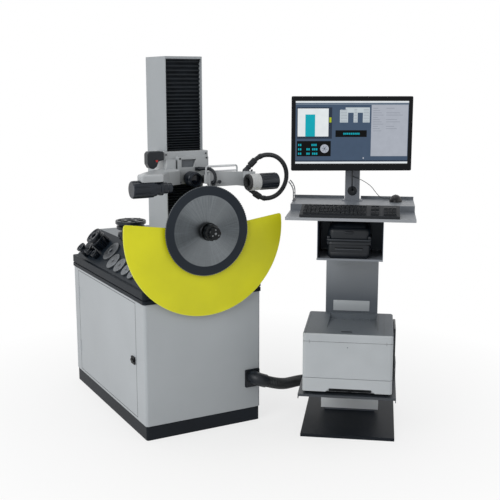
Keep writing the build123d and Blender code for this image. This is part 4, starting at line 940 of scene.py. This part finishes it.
def makeScreenPicture():
    s = screenSettings
    left, low, width, height = s["left"], s["low"], s["width"], s["height"]
    byColour = {}
    for colour, x0, z0, x1, z1, layer in screenMarks():
        front = s["bezelFront"] - s["lift"] * (layer + 1)
        patch = box((left + x0 * width, front, low + z0 * height),
                    (left + x1 * width, front + s["lift"] - 0.01, low + z1 * height))
        byColour.setdefault(colour, []).append(patch)
    dial = s["dial"]
    r, thick = dial["radius"], dial["thick"]
    x, z = dial["at"]
    middle = Vector((left + x * width, s["bezelFront"] - s["lift"] * 2, low + z * height))
    disc = turnedPiece([(0, 0), (r, 0), (r, thick), (0, thick)], 40)
    byColour["panel"].append(settle(disc, facing(middle, (0, -1, 0))))
    for turn in dial["turns"]:
        wide, long, high = dial["hand"]
        hand = settle(box((-wide, -long, 0), (wide, long, high)), turnedBy(turn))
        byColour["deep"].append(settle(hand, facing(middle - Vector((0, thick, 0)), (0, -1, 0))))
    for colour, patches in byColour.items():
        shown = settle(joinAll(patches), screenPlace())
        lit = glowing("lit" + colour.title(), screenColours[colour])
        finishPiece([shown], "screen" + colour.title(), "monitor", "screen_glass", lit, smooth=0)
    print("screen picture ready")


makeScreenPicture()


# label printer in its open compartment: low corner, high corner, rounding and its segments
labelSettings = {
    "shell": [
        ((-97, -212, 821), (97, -16, 905), 18, 5), ((-85, -213, 821), (85, -192, 851), 6, 3),
        ((-100, -214, 897), (100, -56, 913), 7, 4), ((-97, -206, 883), (97, -24, 967), 28, 7),
        ((-94, -198, 891), (94, -28, 984), 36, 8), ((-20, -209.5, 933), (20, -182, 945), 4, 3),
        ((-101, -210, 881), (-85, -160, 925), 6, 4), ((85, -210, 881), (101, -160, 925), 6, 4),
    ],
    "slot": [((-64, -213.2, 867), (64, -208, 872), 1.5), ((-95, -212.8, 883), (95, -208, 884.6), 0.5)],
    # grey strips under the slot and along the lip: painted highlights
    "edge": [((-62, -214.4, 861), (62, -208, 866), 1.5), ((-98, -215.2, 905), (98, -209, 908), 1.2),
             ((-101, -212, 905), (-98, -162, 908), 1.2), ((98, -212, 905), (101, -162, 908), 1.2)],
}


def makeLabelPrinter():
    s = labelSettings
    shell = consolePiece(boxes(s["shell"]), "labelPrinterShell", "base", "black_plastic")
    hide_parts("label_printer")
    consolePiece(boxes(s["slot"]), "labelPrinterSlot", "base", "gloss_black")
    # the grey strips under the slot and along the lip are painted highlights
    consolePiece(boxes(s["edge"]), "labelPrinterHighlights", "base", "printer_dark", ownFinish["printer_shelf"])
    print("label printer ready")


makeLabelPrinter()


# the dark gap around the cabinet door
seamSettings = {"x": -295.3, "y": (-395, 426), "z": (82, 623), "wide": 2.6, "deep": 1.2}


def makeDoorSeam():
    s = seamSettings
    x, w = s["x"], s["wide"]
    (y0, y1), (z0, z1) = s["y"], s["z"]
    spans = [(y0 - w, z0 - w, y0, z1 + w), (y1, z0 - w, y1 + w, z1 + w), (y0, z0 - w, y1, z0),
             (y0, z1, y1, z1 + w)]
    strips = [box((x, left, low), (x + s["deep"], right, high)) for left, low, right, high in spans]
    finishPiece(strips, "doorSeam", "base", "black_plastic", smooth=0)
    print("door seam ready")


makeDoorSeam()

# plain plates on the console, and the printer's seams, covers and ribs
plateSettings = {
    "foot": [((-128, 1.5, 24), (152, 7.5, 205), 2)], "footLitColour": (0.86, 0.875, 0.885),
    "bare": [((-76, 5.2, 521), (98, 8.0, 572), 0.6)],
}
printerSettings = {
    "sensor": [((-21, -354, 511.5), (28, -339, 514.6), 1)],
    "handle": [((-70, -389, 248), (118, -384, 262), 1), ((-40, -393, 249), (-14, -387, 253), 1),
               ((8, -393, 249), (34, -387, 253), 1), ((60, -393, 249), (86, -387, 253), 1)],
    "seams": [((-189.3, -380, 484), (210.3, 4.2, 485.2)), ((-187, -396.3, 478), (208, -395, 479)),
              ((-160, -396.2, 470), (-159, -395, 486)), ((181, -396.2, 470), (182, -395, 486)),
              ((168, -392, 513.6), (169.2, 0, 514.3)), ((-189.3, -200, 320), (-188.6, -198.6, 484)),
              ((-178, -392, 513.6), (-176.8, -20, 514.3)), ((140, -300, 513.6), (142, -6, 514.5))],
    "rests": [((x, -290, 498), (x + 3, -60, 501.5), 1) for x in (-60, -20, 20, 60, 100)],
    "cover": [((209.5, -187, 304), (223.5, -2, 491), 5, 3)],
    "light": [(0, 0), (2.2, 0), (1.8, 0.8), (0, 1.1)], "lightAt": (10, -396, 455),
}


def makeConsoleDetails():
    s = plateSettings
    # the foot plate's own pale grey, raised so it stays bright in the shelf's shadow: painted light
    pale = surface("footPaintAndLight", s["footLitColour"], patina=0.03, patinaScale=4, grain=900, grainDepth=0.03)
    consolePiece(boxes(s["foot"]), "footPanel", "base", "light_paint", pale)
    consolePiece(boxes(s["bare"]), "barePlate", "base", "light_paint")
    s = printerSettings
    consolePiece(boxes(s["sensor"]), "paperSensorCover", "base", "gloss_black")
    consolePiece(boxes(s["handle"]), "drawerHandleShade", "drawer", "gloss_black")
    consolePiece(boxes(s["seams"]), "printerSeams", "base", "printer_dark", finishes["gloss_black"], smooth=0)
    consolePiece(boxes(s["rests"]), "paperRests", "base", "printer_dark")
    consolePiece(boxes(s["cover"]), "printerSideCover", "base", "black_plastic")
    light = settle(turnedPiece(s["light"], 20), facing(s["lightAt"], (0, -1, 0)))
    consolePiece([light], "printerLight", "base", "printer_dark")
    print("console details ready")


makeConsoleDetails()


def lensGlass(point, direction, radius, dome):
    # a domed glass on a short drum
    arc = [(radius * cos(step / 6 * pi / 2), dome * sin(step / 6 * pi / 2)) for step in range(1, 6)]
    return settle(turnedPiece([(0, -2), (radius, -2), (radius, 0), *arc, (0, dome)], 40),
                  facing(point, direction))


def screwHead(point, direction, radius=4, height=2.8):
    # round head with a hexagonal socket sunk in it
    deselectAll()
    radius, height = radius * mm, height * mm
    bpy.ops.mesh.primitive_cylinder_add(vertices=24, radius=radius, depth=height, location=(0, 0, height / 2))
    head = settle(bpy.context.object)
    bpy.ops.object.mode_set(mode="EDIT")
    selectWhere(lambda centre, normal: normal.z > 0.9)
    bpy.ops.mesh.bevel(offset=radius * 0.12, segments=2, affect="EDGES")
    selectWhere(lambda centre, normal: normal.z > 0.9 and centre.length < height * 1.2)
    bpy.ops.mesh.inset(thickness=radius * 0.36, depth=0)
    bpy.ops.mesh.inset(thickness=radius * 0.02, depth=-height * 0.5)
    bpy.ops.object.mode_set(mode="OBJECT")
    return settle(head, facing(point, direction))


# cooling fins round the camera barrels: left end, right end and height of each set
finSettings = {"count": 16, "radius": 37.4, "sets": [(-349, -276, 1160), (272, 350, 1163)], "y": -545,
               "half": 1.7}


def makeCameraFins():
    s = finSettings
    fins = []
    for x0, x1, z in s["sets"]:
        for fin in range(s["count"]):
            rib = box((x0, -s["half"], s["radius"] - 2), (x1, s["half"], s["radius"] + 1.1), 0.8, 2)
            fins.append(settle(rib, movedTo(0, s["y"], z) @ turnedBy(360 * fin / s["count"], "X")))
    finishPiece(fins, "cameraFins", "carriage", "black_metal")
    print("camera fins ready")


makeCameraFins()

# the grey sheet at the bottom of the front plate's slanted recess: painted shade that darkens the recess
recessSettings = {
    "sheet": ((-37.6, -349.2, 1226.4), (35.6, -348.1, 1261.6)), "cut": (23.6, -348, 1226),
    "cutTowards": (0.949, 0, -0.316), "colour": (0.36, 0.38, 0.40),
}


def makeRecessSheet():
    s = recessSettings
    sheet = box(*s["sheet"])
    pick(sheet)
    bpy.ops.object.mode_set(mode="EDIT")
    bpy.ops.mesh.select_all(action="SELECT")
    bpy.ops.mesh.bisect(plane_co=Vector(s["cut"]) * mm, plane_no=s["cutTowards"], clear_outer=True,
                        use_fill=True)
    bpy.ops.object.mode_set(mode="OBJECT")
    paint = surface("recessShade", s["colour"], patina=0.12, patinaScale=30)
    finishPiece([sheet], "recessShadeSheet", "carriage", "dark_paint", paint, smooth=0)
    print("recess sheet ready")


makeRecessSheet()

# the bow handle's grip and the rail under it: height, radius, left and right end
bowSettings = {
    "y": -477, "bars": [(1237, 5.2, 41, 175), (1215, 3.6, 33, 183)], "bevel": 1.2, "colour": (0.80, 0.81, 0.82),
}


def makeBowBars():
    s = bowSettings
    bars = []
    for z, radius, left, right in s["bars"]:
        long, bevel = right - left, s["bevel"]
        profile = [(0, 0), (radius - bevel, 0), (radius, bevel), (radius, long - bevel),
                   (radius - bevel, long), (0, long)]
        bars.append(settle(turnedPiece(profile, 24), facing((left, s["y"], z), (1, 0, 0))))
    enamel = surface("bowEnamel", s["colour"], rough=0.34, patina=0.03)
    finishPiece(bars, "bowBars", "carriage", "light_paint", enamel)
    print("bow bars ready")


makeBowBars()

# one screw in the middle of the knob and three round it: radius and height of the heads
knobScrewSettings = {
    "centre": (0, -629.2, 955), "middle": (5.5, 3.5), "outer": (3.4, 2.6), "ring": 16.5,
    "turns": (90, 210, 330),
    "steel": (0.46, 0.47, 0.48),
}


def makeKnobScrews():
    s = knobScrewSettings
    x, y, z = s["centre"]
    screws = [screwHead(s["centre"], (0, -1, 0), *s["middle"])]
    for turn in s["turns"]:
        point = (x + s["ring"] * cos(radians(turn)), y, z + s["ring"] * sin(radians(turn)))
        screws.append(screwHead(point, (0, -1, 0), *s["outer"]))
    steel = surface("screwSteel", s["steel"], rough=0.3, metal=0.8, patina=0.05, grainDepth=0.004)
    finishPiece(screws, "knobScrews", "knob", "chrome", steel)
    print("knob screws ready")


makeKnobScrews()

neckSettings = {
    "route": [(46, -366, 1217), (46, -385, 1219), (48, -420, 1222), (47, -462, 1226), (50, -492, 1224),
              (58, -507, 1208), (61, -509, 1186), (59, -500, 1165), (54, -474, 1158), (50, -446, 1165),
              (48, -420, 1171)],
    "radius": 7.5, "pitch": 4.2, "depth": 0.9, "bracket": ((28, -366, 1209), (62, -360, 1225), 1),
    "socket": [(0, 0), (9.5, 0), (10, 1), (10, 8), (8.5, 11), (0, 11)], "socketAt": (46, -365, 1217),
    # the arm enters the front of the camera arm through this rubber ring and comes out at the light
    "ring": [(8, 0), (12, 0), (12.5, 1.5), (11, 4), (8, 4), (8, 0)],
    "ringAt": (57.5, -490, 1162), "ringFaces": (0.1, -1, 0.25),
}


def makeGooseneck():
    # a ribbed arm that bends over the front camera to the small light beside it
    s = neckSettings
    route = [Vector(p) * mm for p in s["route"]]
    arm = ribbedHose("neck", route, s["radius"], s["pitch"], s["depth"], 24)[0]
    socket = settle(turnedPiece(s["socket"], 28), facing(s["socketAt"], (0, -1, 0)))
    ring = settle(turnedPiece(s["ring"], 28), facing(s["ringAt"], s["ringFaces"]))
    shown = finishPiece([arm, socket, ring, box(*s["bracket"])], "gooseneckArm", "carriage", "black_plastic")
    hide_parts("gooseneck")
    print("gooseneck ready")


makeGooseneck()

# adapters stood on the slope: how far back, how far up the slope, radius and height of each
adapterSettings = {
    "foot": (-283, 697), "slope": 45, "places": [(262, 113, 45, 85), (290, 46, 25, 50), (228, 44, 20, 34),
                                                 (352, 34, 25, 64)],
    "profile": [(0, 0), (0.62, 0), (0.80, 0.48), (0.80, 0.58), (0.94, 0.58), (0.97, 0.60), (0.97, 0.68),
                (0.94, 0.70),
                (0.72, 0.70), (0.72, 0.84), (0.97, 0.84), (1, 0.86), (1, 0.98), (0.98, 1), (0.88, 1),
                (0.82, 0.95),
                (0.38, 0.95), (0.34, 0.93), (0.31, 0.6), (0, 0.6)],
    "fins": 10, "fin": ((0.4, -0.05, 0.02), (0.92, 0.05, 0.585)), "bolts": 6, "boltRing": 0.6,
    "boltHeight": 0.948,
}


def onSlope(along, y):
    s = adapterSettings
    foot, low = s["foot"]
    turn = radians(s["slope"])
    return movedTo(foot + along * cos(turn), y, low + along * sin(turn)) @ turnedBy(-s["slope"], "Y")


def makeAdapters():
    s = adapterSettings
    adapters = []
    for y, along, r, h in s["places"]:
        adapter = [turnedPiece([(a * r, b * h) for a, b in s["profile"]])]
        low, high = (Vector((a * r, b * r, c * h)) for a, b, c in s["fin"])
        for fin in range(s["fins"]):
            adapter.append(settle(box(low, high, 0.02 * r, 1), turnedBy(360 * fin / s["fins"])))
        for bolt in range(s["bolts"]):
            turn = 2 * pi * (bolt + 0.5) / s["bolts"]
            reach = s["boltRing"] * r
            point = (reach * cos(turn), reach * sin(turn), s["boltHeight"] * h)
            adapter.append(screwHead(point, (0, 0, 1), 0.095 * r, 0.06 * r))
        adapters.append(settle(joinAll(adapter), onSlope(along, y)))
    shown = finishPiece(adapters, "adapterSet", "base", "black_metal")
    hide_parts("stored_adapters")
    print("adapters ready")


makeAdapters()

stackSettings = {
    "place": (-108, 125, 828), "spokes": 6, "spoke": ((31, -7, 84), (68, 7, 93.4), 1.6, 2),
    "bolt": (71.5, 0, 93.8),
    "profile": [(0, 0), (60, 0), (60, 10), (65, 12), (66, 14), (66, 32), (64, 35), (47, 37), (47, 48),
                (70, 50), (72, 52),
                (72, 65), (70, 67), (52, 69), (52, 76), (75, 76), (77.5, 78), (77.5, 91), (75, 94), (68, 94),
                (66, 92),
                (65, 86), (34, 86), (33, 92), (31, 94), (24, 94), (22, 92), (22, 84), (0, 84)],
}


def makeDiscStack():
    s = stackSettings
    step = 360 / s["spokes"]
    parts = [turnedPiece(s["profile"], 64)]
    for spoke in range(s["spokes"]):
        parts.append(settle(box(*s["spoke"]), turnedBy(step * spoke)))
        parts.append(settle(screwHead(s["bolt"], (0, 0, 1), 2.8, 1.8), turnedBy(step * (spoke + 0.5))))
    stack = settle(joinAll(parts), movedTo(*s["place"]))
    finishPiece([stack], "discStack", "base", "black_metal")
    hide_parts("disc_stack")
    print("disc stack ready")


makeDiscStack()

# dark bores and a ring of holes on each disc laid on the slope: how far back, up the slope and radius
storedSettings = {
    "places": [(123, 99, 53.5), (15, 58, 44), (-83, 54, 40), (-181, 50, 34), (-262, 42, 27.5)],
    "top": 9, "holes": 8, "bore": 0.19, "hole": 0.055, "ring": 0.64,
}


def shortCylinder(radius, low, high, sides):
    return turnedPiece([(0, low), (radius, low), (radius, high), (0, high)], sides)


def makeDiscHoles():
    s = storedSettings
    top = s["top"]
    holes = []
    for y, along, r in s["places"]:
        place = onSlope(along, y)
        holes.append(settle(shortCylinder(s["bore"] * r, top - 4, top - 1.3, 32), place))
        for hole in range(s["holes"]):
            turn = 2 * pi * hole / s["holes"]
            at = movedTo(s["ring"] * r * cos(turn), s["ring"] * r * sin(turn), 0)
            holes.append(settle(shortCylinder(s["hole"] * r, top - 1, top + 0.12, 16), place @ at))
    finishPiece(holes, "discHoles", "base", "black_metal")
    print("disc holes ready")


makeDiscHoles()

mouseSettings = {
    "place": (209, 118, 1044), "half": (31, 50), "high": 34, "cut": 1, "backShare": (0.93, 1, 0.9),
    "wheel": [(0, -3), (6.4, -3), (7, -2), (7, 2), (6.4, 3), (0, 3)], "wheelAt": (0, 24, 23.5),
}


def makeMouse():
    s = mouseSettings
    deselectAll()
    bpy.ops.mesh.primitive_uv_sphere_add(segments=40, ring_count=20, radius=1)
    shell = bpy.context.object
    shell.scale = Vector((*s["half"], s["high"])) * mm
    settle(shell)
    cut = s["cut"] * mm
    bpy.ops.object.mode_set(mode="EDIT")
    bpy.ops.mesh.select_all(action="SELECT")
    bpy.ops.mesh.bisect(plane_co=(0, 0, cut), plane_no=(0, 0, 1), clear_inner=True, use_fill=True)
    selectWhere(lambda centre, normal: centre.y > 0)
    bpy.ops.transform.resize(value=s["backShare"], center_override=(0, 0, 0))
    bpy.ops.mesh.select_all(action="SELECT")
    bpy.ops.transform.translate(value=(0, 0, -cut))
    bpy.ops.object.mode_set(mode="OBJECT")
    wheel = settle(turnedPiece(s["wheel"], 28), facing(s["wheelAt"], (1, 0, 0)))
    mouse = settle(joinAll([shell, wheel]), movedTo(*s["place"]))
    consolePiece([mouse], "mouseShell", "base", "black_plastic", ownFinish["mouse"])
    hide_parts("mouse")
    print("mouse ready")


makeMouse()

lensSettings = {
    "glass": (0.03, 0.045, 0.08),
    # point, direction, radius and dome of each lens
    "lenses": [((-176.5, -545, 1160), (1, 0, 0), 16.5, 3), ((232.5, -545, 1163), (-1, 0, 0), 13.8, 3),
               ((0, -431.5, 1175), (0, -1, 0), 22.5, 4)],
    # point, direction, radius and height of each clamp knob, and its profile as shares of the last two
    "clamps": [((84, -497.5, 1168), (0, -1, 0), 8.5, 10), ((240, -520, 1208.8), (0, 0, 1), 4.8, 9)],
    "clampProfile": [(0, 0), (0.7, 0), (0.7, 0.3), (1, 0.36), (1, 0.88), (0.85, 1), (0, 1)],
    # screw heads: place and radius
    "screws": [((-46, -360.5, 1158), 4), ((88, -360.5, 1158), 4), ((-46, -360.5, 1266), 4),
               ((88, -360.5, 1266), 4),
               ((-100, -327.5, 1284), 3.5), ((100, -327.5, 1284), 3.5)],
    "flangeScrews": [((219, -511.5, 181), 3.8), ((219, -511.5, 253), 3.8), ((281, -511.5, 181), 3.8),
                     ((281, -511.5, 253), 3.8)],
}


def makeCarriageDetails():
    s = lensSettings
    glass = surface("coatedLens", s["glass"], rough=0.12, patina=0.2, grainDepth=0.0, spread=0.02, edge=0,
                    gloss=0.35)
    finishPiece([lensGlass(*lens) for lens in s["lenses"]], "lenses", "carriage", "black_metal", glass)
    heads = [screwHead(point, (0, -1, 0), radius) for point, radius in s["screws"]]
    for point, direction, radius, height in s["clamps"]:
        knob = turnedPiece([(r * radius, h * height) for r, h in s["clampProfile"]], 28)
        heads.append(settle(knob, facing(point, direction)))
    finishPiece(heads, "carriageScrews", "carriage", "black_metal")
    heads = [screwHead(point, (0, -1, 0), radius) for point, radius in s["flangeScrews"]]
    finishPiece(heads, "hoseFlangeScrews", "base", "black_metal")
    print("lenses and screws ready")


makeCarriageDetails()


# floor, backdrop and lamps, in metres
stageSettings = {
    "worldLevel": 0.42, "floorColour": 0.8, "floorCentre": (0.3, -0.3, -0.0005), "floorRadius": 14,
    "fade": (0.5, 1.9, 0.72, 1.0),  # the floor turns to plain white between these distances from its centre
    # name, place, what it shines at, power and size
    "lamps": [("keyLamp", (-4.4, -2.2, 3.0), (0.2, -0.3, 0.9), 140, 3.2),
              ("fillLamp", (3.4, -3.0, 2.4), (0.4, -0.4, 0.9), 34, 3.0),
              ("topLamp", (0.2, 0.6, 4.4), (0.2, -0.3, 1.0), 34, 3.0)],
}


def addLamp(name, place, target, power, size):
    data = bpy.data.lights.new(name, "AREA")
    data.energy = power
    data.size = size
    lamp = bpy.data.objects.new(name, data)
    bpy.context.scene.collection.objects.link(lamp)
    lamp.location = place
    lamp.rotation_euler = (Vector(target) - Vector(place)).to_track_quat("-Z", "Y").to_euler()


def mixShaders(tree, factor, first, second, output):
    mix = addNode(tree, "ShaderNodeMixShader")
    for socket, source in zip(mix.inputs, (factor, first, second)):
        tree.links.new(source, socket)
    tree.links.new(mix.outputs[0], tree.nodes[output].inputs["Surface"])


def makeWorld():
    # what the camera, mirrors and glass see is white; what lights the object stays plain
    world = bpy.data.worlds.new("studio")
    bpy.context.scene.world = world
    world.use_nodes = True
    tree = world.node_tree
    plain = tree.nodes["Background"]
    plain.inputs["Color"].default_value = (1, 1, 1, 1)
    plain.inputs["Strength"].default_value = stageSettings["worldLevel"]
    white = addNode(tree, "ShaderNodeBackground", Color=(1, 1, 1, 1), Strength=1.0)
    path = addNode(tree, "ShaderNodeLightPath")
    mirrored = calc(tree, "MAXIMUM", path.outputs["Is Glossy Ray"], path.outputs["Is Transmission Ray"])
    seen = calc(tree, "MAXIMUM", path.outputs["Is Camera Ray"], mirrored)
    mixShaders(tree, seen, plain.outputs[0], white.outputs[0], "World Output")


def makeFloor():
    # keeps the object's shadow and fades to white away from it
    s = stageSettings
    deselectAll()
    bpy.ops.mesh.primitive_circle_add(vertices=96, radius=s["floorRadius"], fill_type="NGON",
                                      location=s["floorCentre"])
    floor = settle(bpy.context.object)
    floor.name = "floor"
    material, tree, shader = nodeTree("floorPaint")
    shader.inputs["Base Color"].default_value = (s["floorColour"],) * 3 + (1,)
    shader.inputs["Roughness"].default_value = 0.9
    shader.inputs["Specular IOR Level"].default_value = 0.0
    glow = addNode(tree, "ShaderNodeEmission", Strength=1.0)
    x, y = separateParts(tree, (*s["floorCentre"][:2], 0))[:2]
    fade = ranged(tree, fromAxis(tree, x, y)[0], *s["fade"])
    path = addNode(tree, "ShaderNodeLightPath")
    seen = calc(tree, "MAXIMUM", path.outputs["Is Camera Ray"], path.outputs["Is Glossy Ray"])
    mixShaders(tree, calc(tree, "MULTIPLY", fade, seen), shader.outputs[0], glow.outputs[0], "Material Output")
    floor.data.materials.append(material)


def makeStage():
    makeWorld()
    makeFloor()
    for lamp in stageSettings["lamps"]:
        addLamp(*lamp)
    bpy.context.scene.view_settings.view_transform = "Standard"
    print("stage ready")


makeStage()
